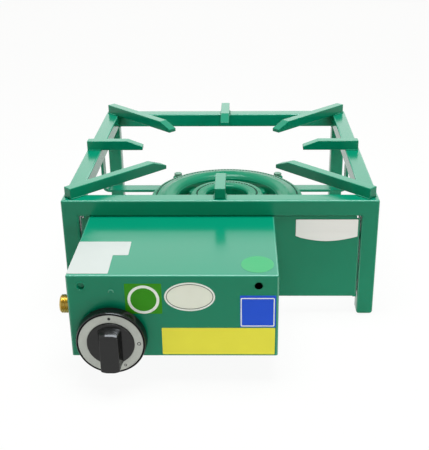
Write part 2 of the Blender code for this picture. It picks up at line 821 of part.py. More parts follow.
def make_hole_plug():
    """A dished blanking plug snapped into the box's left hole."""
    shank = BOX_HOLE_RADIUS - GAP
    bowl = shank - PLUG_WALL
    profile = [
        (0.0, -PLUG_DISH),
        (bowl - PLUG_WALL, -PLUG_DISH),
        (bowl, PLUG_RIM_THICKNESS + GAP),
        (PLUG_RIM_RADIUS, GAP),
        (shank, GAP),
        (shank, -PLUG_DEPTH),
        (shank - PLUG_WALL, -PLUG_DEPTH),
        (bowl - PLUG_WALL, -PLUG_DISH - PLUG_WALL),
        (0.0, -PLUG_DISH - PLUG_WALL),
    ]
    plug = solid_of_turn("hole_plug", profile, SMALL_STEPS, AXIS_FRONT)
    return finish(move(plug, shift(BOX_HOLE_LEFT_X, BOX_FRONT, BOX_HOLE_Z)), "hole_plug", PAINT)


# Burner


def ring_shell(name, rim, hole, lip, bottom, steps):
    """A ring with drafted sides and a thicker rim outside, not yet hollowed."""
    profile = [
        (rim - CAST_DRAFT * 2, bottom),
        (rim, lip - RIM_HEIGHT),
        (rim, lip),
        (hole, lip),
        (hole + CAST_DRAFT, bottom),
    ]
    return turned(name, profile, steps)


def ring_cavity(name, rim, hole, lip, bottom, steps):
    """The gas channel inside a ring, open at the lip."""
    floor = bottom + CAST_FLOOR
    profile = [
        (rim - CAST_WALL, lip + OVERRUN),
        (rim - CAST_WALL, lip),
        (rim - CAST_WALL - CAST_DRAFT, floor),
        (hole + CAST_WALL + CAST_DRAFT, floor),
        (hole + CAST_WALL, lip),
        (hole + CAST_WALL, lip + OVERRUN),
    ]
    return turned(name, profile, steps)


def make_burner_body():
    """One casting: two gas channels, four feed arms, riser, flanged socket and four lugs."""
    outer_ring = (OUTER_RIM, OUTER_INNER, OUTER_LIP_Z, OUTER_BOTTOM_Z, RING_STEPS)
    inner_ring = (INNER_RIM, INNER_HOLE, INNER_LIP_Z, INNER_BOTTOM_Z, INNER_RING_STEPS)
    solids = [ring_shell("ring", *inner_ring)]
    reach = (INNER_RIM - CAST_WALL - CAST_DRAFT, OUTER_INNER + CAST_WALL)
    for index in range(ARM_COUNT):
        section = rectangle(ARM_WIDTH / 2, (ARM_TOP_Z - ARM_BOTTOM_Z) / 2, ARM_EDGE)
        arm = plate("arm", [section], reach[1] - reach[0], ALONG_X)
        move(arm, shift((reach[0] + reach[1]) / 2, 0, (ARM_TOP_Z + ARM_BOTTOM_Z) / 2))
        angle = (index + 0.5) * 360 / ARM_COUNT
        solids.append(move(arm, turn_z(angle)))
    for x in (-LUG_X, LUG_X):
        for y in (-LUG_Y, LUG_Y):
            lug = rod("lug", LUG_RADIUS, STRAP_TOP + GAP, LUG_TOP_Z, SMALL_STEPS)
            solids.append(move(lug, shift(x, y)))
    riser_top = INNER_BOTTOM_Z + CAST_FLOOR / 2
    riser_low = FEED_Z - RISER_RADIUS
    riser_profile = [(0.0, riser_top), (RISER_RADIUS, riser_top)]
    for out, up in RISER_FOOT_SHARES:
        riser_profile.append((RISER_RADIUS * out, riser_low + RISER_RADIUS * up))
    riser_profile.append((0.0, riser_low))
    solids.append(move(solid_of_turn("riser", riser_profile), shift(y=RISER_Y)))
    socket = rod("socket", SOCKET_RADIUS, 0.0, RISER_Y - JOINT_Y, ROUND_STEPS, AXIS_FRONT)
    socket = move(socket, shift(y=RISER_Y, z=FEED_Z))
    solids.append(join(socket, make_joint_flange("flange", 1)))
    body = join(ring_shell("burner_body", *outer_ring), *solids)
    body = cut(body, ring_cavity("cavity", *outer_ring), ring_cavity("cavity", *inner_ring))
    bore = rod("bore", SOCKET_BORE, 0.0, RISER_Y - JOINT_Y + OVERRUN, ROUND_STEPS, AXIS_FRONT)
    body = cut(body, move(bore, shift(y=RISER_Y, z=FEED_Z)))
    drill_radius = BOLT_SHANK + BOLT_CLEARANCE
    for x in (-LUG_X, LUG_X):
        for y in (-LUG_Y, LUG_Y):
            hole = rod("hole", drill_radius, STRAP_TOP - OVERRUN, LUG_TOP_Z + OVERRUN, SCREW_STEPS)
            body = cut(body, move(hole, shift(x, y)))
    return finish(move(body, shift(BURNER_X)), "burner_body", CAST_PAINT)


def make_joint_flange(name, side):
    """The oval flange at the joint between the casting and the mixing tube."""
    corner = FLANGE_HALF_HEIGHT * FLANGE_CORNER_SHARE
    outline = rectangle(FLANGE_HALF_WIDTH, FLANGE_HALF_HEIGHT, corner, steps=4)
    loops = [outline]
    for x in (-FLANGE_BOLT_X, FLANGE_BOLT_X):
        loops.append(polygon(SCREW_STEPS, SCREW_SHANK + SCREW_CLEARANCE, (x, 0)))
    flange = plate(name, loops, FLANGE_THICKNESS, ALONG_Y)
    middle = JOINT_Y + side * FLANGE_THICKNESS / 2
    return move(flange, shift(y=middle, z=FEED_Z))


def drill_ports(crown, count, low, high):
    """Drill a row of ports square to the cone that runs from the low point to the high one."""
    slope = math.atan2(high[1] - low[1], low[0] - high[0])
    shape = bmesh.new()
    for index in range(count):
        place = turn_z((index + 0.5) * 360 / count)
        place = place @ shift((low[0] + high[0]) / 2, 0, (low[1] + high[1]) / 2)
        place = place @ Matrix.Rotation(math.pi / 2 - slope, 4, "Y") @ AXIS_LEFT
        bmesh.ops.create_cone(
            shape,
            cap_ends=True,
            segments=PORT_SIDES,
            radius1=PORT_RADIUS,
            radius2=PORT_RADIUS,
            depth=(CROWN_WALL + OVERRUN) * 2,
            matrix=place,
        )
    mesh = bpy.data.meshes.new("drills")
    shape.to_mesh(mesh)
    shape.free()
    return cut(crown, new_object("drills", mesh))


def crown_profile(seat, outer, edge, cone, crest, shoulder, inner, round_over):
    """A hollow crown ring: seat, conical port face, crest, rounded inner corner and the groove below."""
    top = crest[1]
    wall = CROWN_WALL
    return [
        (outer, seat),
        (outer, seat + edge),
        cone,
        crest,
        (shoulder, top - round_over * CREST_DROP_SHARE),
        (inner, top - round_over * INNER_CORNER_SHARE),
        (inner, seat),
        (inner + wall, seat),
        (inner + wall + round_over * GROOVE_CORNER_SHARE, top - wall * GROOVE_ROOF_SHARE),
        (cone[0] - wall * GROOVE_CONE_SHARE, cone[1] - wall),
        (outer - wall * GROOVE_SEAT_SHARE, seat),
    ]


def make_outer_crown():
    """The outer drilled crown ring."""
    seat = OUTER_LIP_Z + GAP
    outer = OUTER_RIM - CROWN_INSET
    inner = OUTER_INNER + CROWN_INSET / 2
    cone = (OUTER_CONE_RADIUS, OUTER_CONE_Z)
    crest = (OUTER_CREST_RADIUS, OUTER_CROWN_TOP_Z)
    profile = crown_profile(
        seat, outer, OUTER_CROWN_EDGE, cone, crest, OUTER_SHOULDER_RADIUS, inner, CROWN_ROUND
    )
    crown = turned("outer_crown", profile, RING_STEPS)
    crown = drill_ports(crown, OUTER_PORT_COUNT, (outer, seat + OUTER_CROWN_EDGE), cone)
    return finish(move(crown, shift(BURNER_X)), "outer_crown", CAST_PAINT)


def make_inner_crown():
    """The inner drilled crown ring, shaped like the outer one."""
    seat = INNER_LIP_Z + GAP
    outer = INNER_RIM - INNER_CROWN_INSET
    inner = INNER_HOLE + INNER_CROWN_INSET / 2
    cone = (INNER_CONE_RADIUS, INNER_CONE_Z)
    profile = [
        (outer, seat),
        (outer, seat + INNER_CROWN_EDGE),
        cone,
        (INNER_CONE_RADIUS - CROWN_ROUND * INNER_CREST_SHARE, INNER_CROWN_TOP_Z),
        (inner, INNER_CROWN_TOP_Z - CROWN_ROUND * INNER_CREST_DROP_SHARE),
        (inner, seat),
        (inner + CROWN_WALL, seat),
        (INNER_CONE_RADIUS, INNER_CONE_Z - CROWN_WALL),
        (outer - CROWN_WALL * INNER_SEAT_SHARE, seat),
    ]
    crown = turned("inner_crown", profile, INNER_RING_STEPS)
    crown = drill_ports(crown, INNER_PORT_COUNT, (outer, seat + INNER_CROWN_EDGE), cone)
    return finish(move(crown, shift(BURNER_X)), "inner_crown", CAST_PAINT)


def lug_spots():
    """The four lugs as (name, x, y)."""
    spots = []
    for row, side_y in (("front", -1), ("rear", 1)):
        for column, side_x in (("left", -1), ("right", 1)):
            spots.append((f"{row}_{column}", BURNER_X + side_x * LUG_X, side_y * LUG_Y))
    return spots


def make_burner_bolts():
    """Four hexagon bolts down through the lugs and the straps."""
    seat = LUG_TOP_Z + GAP
    end = STRAP_TOP - STRAP_THICKNESS - GAP - NUT_HEIGHT - BOLT_END
    for name, x, y in lug_spots():
        head = plate("head", [hexagon(BOLT_HEAD_ACROSS)], BOLT_HEAD_HEIGHT)
        head = move(head, shift(z=seat + BOLT_HEAD_HEIGHT / 2))
        shank = rod("shank", BOLT_SHANK, end, seat + BOLT_HEAD_HEIGHT / 2, SCREW_STEPS)
        finish(move(join(head, shank), shift(x, y)), f"burner_bolt_{name}", ZINC)


def make_burner_nuts():
    """The bolts' nuts under the straps."""
    middle = STRAP_TOP - STRAP_THICKNESS - GAP - NUT_HEIGHT / 2
    for name, x, y in lug_spots():
        bore = polygon(SCREW_STEPS, BOLT_SHANK + GAP)
        nut = plate("nut", [hexagon(BOLT_HEAD_ACROSS), bore], NUT_HEIGHT)
        finish(move(nut, shift(x, y, middle)), f"burner_nut_{name}", ZINC)


def make_mixing_tube():
    """The venturi: joint flange, throat, bell and a slotted air mouth with an end wall."""
    start = -(JOINT_Y - GAP)
    end = -TUBE_END_Y
    bell = end - MOUTH_LENGTH
    throat = (start + bell) / 2
    mouth_bore = MOUTH_RADIUS - MOUTH_WALL
    profile = [
        (SOCKET_RADIUS, start),
        (THROAT_RADIUS, throat),
        (MOUTH_RADIUS, bell),
        (MOUTH_RADIUS, end),
        (INJECTOR_THREAD + GAP, end),
        (INJECTOR_THREAD + GAP, end - MOUTH_WALL),
        (mouth_bore, end - MOUTH_WALL),
        (mouth_bore, bell + MOUTH_WALL / 2),
        (THROAT_RADIUS - THROAT_WALL, throat),
        (SOCKET_BORE, start),
    ]
    tube = turned("mixing_tube", profile, ROUND_STEPS, AXIS_FRONT)
    tube = move(tube, shift(z=FEED_Z))
    flange = move(make_joint_flange("flange", -1), shift(y=-GAP))
    width = SOCKET_BORE + THROAT_WALL / 2
    far = start + FLANGE_THICKNESS + OVERRUN
    opening = rod("opening", width, start - OVERRUN, far, ROUND_STEPS, AXIS_FRONT)
    flange = cut(flange, move(opening, shift(z=FEED_Z)))
    tube = join(tube, flange)
    for window in air_windows(MOUTH_RADIUS - MOUTH_WALL - OVERRUN, MOUTH_RADIUS + OVERRUN):
        tube = cut(tube, window)
    return finish(move(tube, shift(BURNER_X)), "mixing_tube", CAST_PAINT)


def air_windows(inner, outer):
    """Cutters for the air windows, as sectors round the mixing tube's axis."""
    made = []
    far = -(TUBE_END_Y + AIR_WINDOW_INSET)
    for index in range(AIR_WINDOW_COUNT):
        middle = index * 360 / AIR_WINDOW_COUNT + AIR_WINDOW_START
        outline = []
        for radius, order in ((inner, 1), (outer, -1)):
            for step in range(ARC_STEPS + 1):
                share = (step / ARC_STEPS - 0.5) * order
                angle = math.radians(middle + AIR_WINDOW_ANGLE * share)
                outline.append((radius * math.cos(angle), radius * math.sin(angle)))
        window = plate("window", [outline], AIR_WINDOW_LENGTH, ALONG_Y)
        made.append(move(window, shift(y=-far + AIR_WINDOW_LENGTH / 2, z=FEED_Z)))
    return made


def make_air_shutter():
    """A slotted sleeve that turns on the mixing tube's mouth."""
    bore = MOUTH_RADIUS + GAP
    low = -TUBE_END_Y - SHUTTER_LENGTH
    high = -TUBE_END_Y
    profile = [(bore + SHUTTER_WALL, low), (bore + SHUTTER_WALL, high), (bore, high), (bore, low)]
    sleeve = turned("air_shutter", profile, ROUND_STEPS, AXIS_FRONT)
    sleeve = move(sleeve, shift(z=FEED_Z))
    for window in air_windows(bore - OVERRUN, bore + SHUTTER_WALL + OVERRUN):
        sleeve = cut(sleeve, window)
    hole_end = bore + SHUTTER_WALL + OVERRUN
    hole = rod("hole", SHUTTER_SCREW_RADIUS + GAP, MOUTH_RADIUS, hole_end, SCREW_STEPS)
    middle = TUBE_END_Y + SHUTTER_LENGTH / 2
    sleeve = cut(sleeve, move(hole, shift(y=middle, z=FEED_Z)))
    return finish(move(sleeve, shift(BURNER_X)), "air_shutter", ZINC)


def make_shutter_screw():
    """The thumb screw that locks the air shutter."""
    foot = MOUTH_RADIUS + GAP
    seat = foot + SHUTTER_WALL + GAP
    profile = [
        (0.0, foot),
        (SHUTTER_SCREW_RADIUS, foot),
        (SHUTTER_SCREW_RADIUS, seat),
        (SHUTTER_SCREW_HEAD, seat),
        (SHUTTER_SCREW_HEAD, foot + SHUTTER_SCREW_TOP),
        (0.0, foot + SHUTTER_SCREW_TOP),
    ]
    screw = solid_of_turn("shutter_screw", profile, SCREW_STEPS)
    middle = TUBE_END_Y + SHUTTER_LENGTH / 2
    return finish(move(screw, shift(BURNER_X, middle, FEED_Z)), "shutter_screw", BRASS)


# Gas train


def make_injector():
    """The injector: hexagon outside the mouth's end wall, drilled nose inside."""
    hexagon_part = plate("injector", [hexagon(INJECTOR_HEX)], INJECTOR_HEX_LENGTH, ALONG_Y)
    hexagon_part = move(hexagon_part, shift(y=TUBE_END_Y - GAP - INJECTOR_HEX_LENGTH / 2, z=FEED_Z))
    nose_profile = [
        (0.0, -INJECTOR_HEX_LENGTH / 2),
        (INJECTOR_THREAD, -INJECTOR_HEX_LENGTH / 2),
        (INJECTOR_THREAD, MOUTH_WALL + GAP),
        (INJECTOR_THREAD * INJECTOR_NOSE_SHARE, INJECTOR_NOSE),
        (0.0, INJECTOR_NOSE),
    ]
    nose = solid_of_turn("nose", nose_profile, SMALL_STEPS, AXIS_BACK)
    injector = join(hexagon_part, move(nose, shift(y=TUBE_END_Y, z=FEED_Z)))
    begin = -INJECTOR_HEX_LENGTH - OVERRUN
    bore = rod("bore", INJECTOR_BORE, begin, INJECTOR_NOSE + OVERRUN, SCREW_STEPS, AXIS_BACK)
    injector = cut(injector, move(bore, shift(y=TUBE_END_Y, z=FEED_Z)))
    return finish(move(injector, shift(BURNER_X)), "injector", BRASS)


def compression_nut(name, lie):
    loops = [hexagon(PIPE_NUT_HEX), polygon(SMALL_STEPS, PIPE_RADIUS + GAP)]
    return plate(name, loops, PIPE_NUT_LENGTH, lie)


def pipe_end_y():
    """The pipe's end face at the injector."""
    return TUBE_END_Y - GAP - INJECTOR_HEX_LENGTH - GAP


def make_injector_nut():
    nut = compression_nut("injector_nut", ALONG_Y)
    middle = pipe_end_y() - PIPE_NUT_LENGTH / 2
    return finish(move(nut, shift(BURNER_X, middle, FEED_Z)), "injector_nut", BRASS)


def outlet_face_x():
    return KNOB_X + TAP_RADIUS + OUTLET_BOSS_LENGTH


def outlet_y():
    return BOX_FRONT + OUTLET_DEPTH


def make_outlet_nut():
    nut = compression_nut("outlet_nut", ALONG_X)
    middle = outlet_face_x() + GAP + PIPE_NUT_LENGTH / 2
    return finish(move(nut, shift(middle, outlet_y(), KNOB_Z)), "outlet_nut", BRASS)


def make_supply_pipe():
    """From the tap's outlet, across the box and back through the panel to the injector."""
    begin = Vector((outlet_face_x() - OUTLET_SOCKET_DEPTH + GAP, outlet_y(), KNOB_Z))
    turn_in = Vector((BURNER_X - PIPE_BEND, outlet_y(), (KNOB_Z + FEED_Z) / 2))
    turn_out = Vector((BURNER_X, outlet_y() + PIPE_BEND, FEED_Z))
    finish_at = Vector((BURNER_X, pipe_end_y(), FEED_Z))
    straight = Vector((PIPE_NUT_LENGTH + OUTLET_SOCKET_DEPTH + OVERRUN, 0, 0))
    leave = begin + straight
    slope = (turn_in - leave) * HANDLE_SHARE
    third = straight * HANDLE_SHARE
    level = Vector((slope.x, 0, 0))
    bend = PIPE_BEND * BEND_HANDLE_SHARE
    arrive = Vector((0, bend, 0))
    points = [
        (begin, begin - third, begin + third),
        (leave, leave - third, leave + level),
        (turn_in, turn_in - slope, turn_in + slope.normalized() * bend),
        (turn_out, turn_out - arrive, turn_out + arrive),
        (finish_at, finish_at - arrive, finish_at + arrive),
    ]
    return finish(pipe("supply_pipe", points, PIPE_RADIUS), "supply_pipe", COPPER)


def make_tap_bonnet():
    """The tap's front flange, screwed to the box, with a neck that guides the stem."""
    corner = BONNET_HALF_HEIGHT * BONNET_CORNER_SHARE
    outline = rectangle(BONNET_HALF_LENGTH, BONNET_HALF_HEIGHT, corner, steps=4)
    loops = [outline]
    for x in (-BONNET_SCREW_X, BONNET_SCREW_X):
        loops.append(polygon(SCREW_STEPS, SCREW_SHANK + GAP, (x, 0)))
    flange = plate("tap_bonnet", loops, BONNET_THICKNESS, ALONG_Y)
    flange = move(flange, shift(y=SHEET + GAP + BONNET_THICKNESS / 2))
    neck = rod("neck", NECK_RADIUS, -SHEET - GAP - BONNET_THICKNESS / 2, NECK_OUT, SMALL_STEPS, AXIS_FRONT)
    bonnet = join(flange, neck)
    bore = rod("bore", STEM_RADIUS + GAP, -TAP_LENGTH, TAP_LENGTH, SMALL_STEPS, AXIS_FRONT)
    bonnet = cut(bonnet, bore)
    return finish(move(bonnet, shift(KNOB_X, BOX_FRONT, KNOB_Z)), "tap_bonnet", BRASS)


def make_tap_body():
    """Tap body: spring chamber, tapered plug seat, outlet boss and the saddle under the manifold."""
    front = TAP_BACK - BOX_FRONT
    end = front + TAP_LENGTH
    shoulder = front + TAP_FRONT_LENGTH
    plug_end = TAP_CHAMBER_END + TAP_PLUG_LENGTH
    profile = [
        (0.0, front),
        (TAP_RADIUS, front),
        (TAP_RADIUS, shoulder),
        (TAP_REAR_RADIUS, shoulder + TAP_RADIUS - TAP_REAR_RADIUS),
        (TAP_REAR_RADIUS, end),
        (0.0, end),
    ]
    body = solid_of_turn("tap_body", profile, ROUND_STEPS, AXIS_BACK)
    saddle_top = INLET_Z - KNOB_Z - MANIFOLD_RADIUS - GAP
    saddle = block(
        "saddle",
        (-SADDLE_HALF_WIDTH, INLET_DEPTH - SADDLE_HALF_LENGTH, MAGNET_RADIUS + GAP),
        (SADDLE_HALF_WIDTH, INLET_DEPTH + SADDLE_HALF_LENGTH, saddle_top),
    )
    top = TAP_RADIUS + OUTLET_BOSS_LENGTH
    boss = rod("boss", OUTLET_BOSS_RADIUS, 0.0, top, SMALL_STEPS, AXIS_RIGHT)
    body = join(body, saddle, move(boss, shift(y=OUTLET_DEPTH)))
    hollow = [
        (0.0, front - OVERRUN),
        (TAP_CHAMBER_RADIUS, front - OVERRUN),
        (TAP_CHAMBER_RADIUS, TAP_CHAMBER_END),
        (TAP_PLUG_FRONT + GAP, TAP_CHAMBER_END),
        (TAP_PLUG_REAR + GAP, plug_end + GAP),
        (0.0, plug_end + GAP),
    ]
    seat = top - OUTLET_SOCKET_DEPTH
    socket = rod("socket", PIPE_RADIUS + GAP, seat, top + OVERRUN, SMALL_STEPS, AXIS_RIGHT)
    socket = move(socket, shift(y=OUTLET_DEPTH))
    body = cut(body, solid_of_turn("hollow", hollow, ROUND_STEPS, AXIS_BACK), socket)
    for offset in (-CLAMP_SCREW_OFFSET, CLAMP_SCREW_OFFSET):
        hole = rod("hole", SCREW_SHANK + GAP, saddle_top - TAPPED_DEPTH, saddle_top + OVERRUN, SCREW_STEPS)
        body = cut(body, move(hole, shift(y=INLET_DEPTH + offset)))
    return finish(move(body, shift(KNOB_X, BOX_FRONT, KNOB_Z)), "tap_body", BRASS)


def make_tap_plug():
    """The tapered plug that turns in the tap body; the stem drives it by a square."""
    low = TAP_CHAMBER_END + GAP
    high = TAP_CHAMBER_END + TAP_PLUG_LENGTH - GAP
    profile = [(0.0, low), (TAP_PLUG_FRONT - GAP, low), (TAP_PLUG_REAR - GAP, high), (0.0, high)]
    plug = solid_of_turn("tap_plug", profile, ROUND_STEPS, AXIS_BACK)
    socket_half = DRIVE_WIDTH / 2 + GAP
    socket = block(
        "socket",
        (-socket_half, low - OVERRUN, -socket_half),
        (socket_half, low + TAP_PLUG_LENGTH / 2, socket_half),
    )
    port = rod("port", TAP_PLUG_REAR * TAP_PORT_SHARE, -TAP_RADIUS, TAP_RADIUS, SCREW_STEPS)
    port = move(port, shift(y=low + TAP_PLUG_LENGTH * TAP_PORT_DEPTH_SHARE))
    plug = cut(plug, socket, port)
    return finish(move(plug, shift(KNOB_X, BOX_FRONT, KNOB_Z)), "tap_plug", BRASS)


def collar_front():
    """Depth of the stem collar's front face, just behind the bonnet."""
    return SHEET + GAP + BONNET_THICKNESS + GAP


def make_tap_stem():
    """The stem: flatted tip in the knob, collar behind the bonnet, square drive in the plug."""
    collar = collar_front()
    tail = TAP_CHAMBER_END + TAP_PLUG_LENGTH / 2 - KNOB_TRAVEL - OVERRUN
    profile = [
        (0.0, -STEM_TIP),
        (STEM_RADIUS, -STEM_TIP),
        (STEM_RADIUS, collar),
        (COLLAR_RADIUS, collar),
        (COLLAR_RADIUS, collar + COLLAR_THICKNESS),
        (STEM_RADIUS - GAP, collar + COLLAR_THICKNESS),
        (STEM_RADIUS - GAP, TAP_CHAMBER_END - KNOB_TRAVEL - GAP),
        (0.0, TAP_CHAMBER_END - KNOB_TRAVEL - GAP),
    ]
    stem = solid_of_turn("tap_stem", profile, SMALL_STEPS, AXIS_BACK)
    half = DRIVE_WIDTH / 2
    drive = block(
        "drive",
        (-half, collar + COLLAR_THICKNESS, -half),
        (half, tail, half),
    )
    stem = join(stem, drive)
    flat = block(
        "flat",
        (-STEM_RADIUS - OVERRUN, -STEM_TIP - OVERRUN, STEM_FLAT),
        (STEM_RADIUS + OVERRUN, -STEM_TIP + STEM_FLAT_LENGTH, STEM_RADIUS + OVERRUN),
    )
    stem = cut(stem, flat)
    return finish(move(stem, shift(KNOB_X, BOX_FRONT, KNOB_Z)), "tap_stem", BRASS)


def make_stem_spring():
    """The return spring between the stem's collar and the plug."""
    low = collar_front() + COLLAR_THICKNESS + SPRING_WIRE + GAP
    high = TAP_CHAMBER_END - SPRING_WIRE
    curve = bpy.data.curves.new("stem_spring", "CURVE")
    curve.dimensions = "3D"
    curve.bevel_depth = SPRING_WIRE
    curve.bevel_resolution = 0
    curve.use_fill_caps = True
    spline = curve.splines.new("POLY")
    steps = SPRING_TURNS * SPRING_POINTS
    spline.points.add(steps)
    for index, point in enumerate(spline.points):
        angle = 2 * math.pi * SPRING_TURNS * index / steps
        depth = low + (high - low) * index / steps
        point.co = (SPRING_RADIUS * math.cos(angle), depth, SPRING_RADIUS * math.sin(angle), 1)
    spring = bake(new_object("stem_spring", curve))
    return finish(move(spring, shift(KNOB_X, BOX_FRONT, KNOB_Z)), "stem_spring", STEEL)


def make_inlet_nipple():
    """The brass inlet: threaded end outside the box, shoulder inside."""
    wall_inside = BOX_LEFT + SHEET
    shoulder = wall_inside + GAP + LOCKNUT_LENGTH + GAP
    length = shoulder + INLET_SHOULDER_LENGTH - (BOX_LEFT - INLET_OUT)
    outside = BOX_LEFT - INLET_OUT
    profile = [
        (INLET_BORE, 0.0),
        (INLET_RADIUS - INLET_CHAMFER, 0.0),
        (INLET_RADIUS, INLET_CHAMFER),
        (INLET_RADIUS, length - INLET_SHOULDER_LENGTH / 2),
        (INLET_BORE, length - INLET_SHOULDER_LENGTH / 2),
    ]
    nipple = turned("inlet_nipple", profile, ROUND_STEPS, AXIS_RIGHT)
    loops = [hexagon(INLET_SHOULDER_HEX), polygon(ROUND_STEPS, MANIFOLD_RADIUS + GAP)]
    shoulder_part = plate("shoulder", loops, INLET_SHOULDER_LENGTH, ALONG_X)
    shoulder_part = move(shoulder_part, shift(length - INLET_SHOULDER_LENGTH / 2))
    nipple = join(nipple, shoulder_part)
    return finish(move(nipple, shift(outside, INLET_Y, INLET_Z)), "inlet_nipple", BRASS)


def manifold_start_x():
    wall_inside = BOX_LEFT + SHEET
    shoulder = wall_inside + GAP + LOCKNUT_LENGTH + GAP
    return shoulder + INLET_SHOULDER_LENGTH / 2 + GAP


def make_inlet_locknut():
    loops = [hexagon(INLET_SHOULDER_HEX), polygon(ROUND_STEPS, INLET_RADIUS + GAP)]
    nut = plate("inlet_locknut", loops, LOCKNUT_LENGTH, ALONG_X)
    middle = BOX_LEFT + SHEET + GAP + LOCKNUT_LENGTH / 2
    return finish(move(nut, shift(middle, INLET_Y, INLET_Z)), "inlet_locknut", BRASS)


def make_manifold_pipe():
    """A steel pipe from the inlet, closed at its far end, that carries the tap."""
    length = MANIFOLD_END_X - manifold_start_x()
    profile = [
        (MANIFOLD_BORE, 0.0),
        (MANIFOLD_RADIUS, 0.0),
        (MANIFOLD_RADIUS, length),
        (0.0, length),
        (0.0, length - OVERRUN),
        (MANIFOLD_BORE, length - OVERRUN),
    ]
    tube = solid_of_turn("manifold_pipe", profile + profile[:1], ROUND_STEPS, AXIS_RIGHT)
    return finish(move(tube, shift(manifold_start_x(), INLET_Y, INLET_Z)), "manifold_pipe", STEEL)


def make_manifold_clamp():
    """An omega clamp over the manifold pipe, screwed down on the tap's saddle."""
    inner = MANIFOLD_RADIUS + GAP
    outer = inner + CLAMP_THICKNESS
    foot = -MANIFOLD_RADIUS + GAP
    ear = SADDLE_HALF_LENGTH
    outline = [(ear, foot), (ear, foot + CLAMP_THICKNESS), (outer, foot + CLAMP_THICKNESS)]
    steps = CLAMP_ARC_STEPS
    for step in range(steps + 1):
        angle = math.pi * step / steps
        outline.append((outer * math.cos(angle), outer * math.sin(angle)))
    outline += [(-outer, foot + CLAMP_THICKNESS), (-ear, foot + CLAMP_THICKNESS)]
    outline += [(-ear, foot), (-inner, foot)]
    for step in range(steps + 1):
        angle = math.pi - math.pi * step / steps
        outline.append((inner * math.cos(angle), inner * math.sin(angle)))
    outline.append((inner, foot))
    clamp = plate("manifold_clamp", [outline], CLAMP_HALF_WIDTH * 2, ALONG_X)
    for offset in (-CLAMP_SCREW_OFFSET, CLAMP_SCREW_OFFSET):
        hole = rod("hole", SCREW_SHANK + GAP, foot - OVERRUN, foot + CLAMP_THICKNESS + OVERRUN, SCREW_STEPS)
        clamp = cut(clamp, move(hole, shift(y=offset)))
    return finish(move(clamp, shift(KNOB_X, INLET_Y, INLET_Z)), "manifold_clamp", STEEL)


def tap_end_y():
    return TAP_BACK + TAP_LENGTH


def make_magnet_unit():
    """The flame failure magnet behind the tap, with its lead nut."""
    base = rod("magnet_unit", MAGNET_RADIUS, GAP, MAGNET_LENGTH, ROUND_STEPS, AXIS_BACK)
    nut = plate("nut", [hexagon(MAGNET_NUT_HEX)], MAGNET_NUT_LENGTH + OVERRUN, ALONG_Y)
    nut = move(nut, shift(y=MAGNET_LENGTH + (MAGNET_NUT_LENGTH - OVERRUN) / 2))
    unit = join(base, nut)
    return finish(move(unit, shift(KNOB_X, tap_end_y(), KNOB_Z)), "magnet_unit", BRASS)


def probe_spot():
    angle = math.radians(PROBE_ANGLE)
    return (
        BURNER_X + PROBE_RADIUS_FROM_AXIS * math.cos(angle),
        PROBE_RADIUS_FROM_AXIS * math.sin(angle),
    )


def make_thermocouple():
    """The flame probe beside the outer ring."""
    profile = [
        (0.0, PROBE_LOW_Z),
        (PROBE_RADIUS, PROBE_LOW_Z),
        (PROBE_RADIUS, PROBE_TOP_Z - PROBE_TIP_ROUND),
        (PROBE_RADIUS - PROBE_TIP_ROUND, PROBE_TOP_Z),
        (0.0, PROBE_TOP_Z),
    ]
    probe = solid_of_turn("thermocouple", profile, SMALL_STEPS)
    x, y = probe_spot()
    return finish(move(probe, shift(x, y)), "thermocouple", STEEL)


def make_thermocouple_lead():
    """The copper lead from the magnet unit through the panel to the probe."""
    x, y = probe_spot()
    begin = Vector((KNOB_X, tap_end_y() + MAGNET_LENGTH + MAGNET_NUT_LENGTH + GAP, KNOB_Z))
    behind = Vector((KNOB_X, PANEL_FRONT + PANEL_FLANGE, KNOB_Z))
    end = Vector((x, y, PROBE_LOW_Z - GAP))
    along = (behind - begin) * HANDLE_SHARE
    drop = Vector((0, 0, -LEAD_DROP))
    points = [
        (begin, begin - along, begin + along),
        (behind, behind - along, behind + along),
        (end, end + drop, end - drop),
    ]
    lead = pipe("thermocouple_lead", points, LEAD_RADIUS, 0, SCREW_STEPS)
    return finish(lead, "thermocouple_lead", COPPER)


def make_probe_bracket():
    """A small plate on the front strap that holds the probe in a hole."""
    x, y = probe_spot()
    near = -STRAP_Y - BRACKET_WIDTH * BRACKET_LAP_SHARE
    far = y + BRACKET_WIDTH / 2
    middle = (near + far) / 2
    loops = [rectangle(BRACKET_WIDTH / 2, (far - near) / 2, BRACKET_WIDTH / 4)]
    loops.append(polygon(SMALL_STEPS, PROBE_RADIUS + GAP, (0, y - middle)))
    loops.append(polygon(SCREW_STEPS, SCREW_SHANK, (0, -STRAP_Y - middle)))
    plate_piece = plate("probe_bracket", loops, BRACKET_THICKNESS)
    spot = shift(x, middle, STRAP_TOP + GAP + BRACKET_THICKNESS / 2)
    return finish(move(plate_piece, spot), "probe_bracket", ZINC)


# Knob


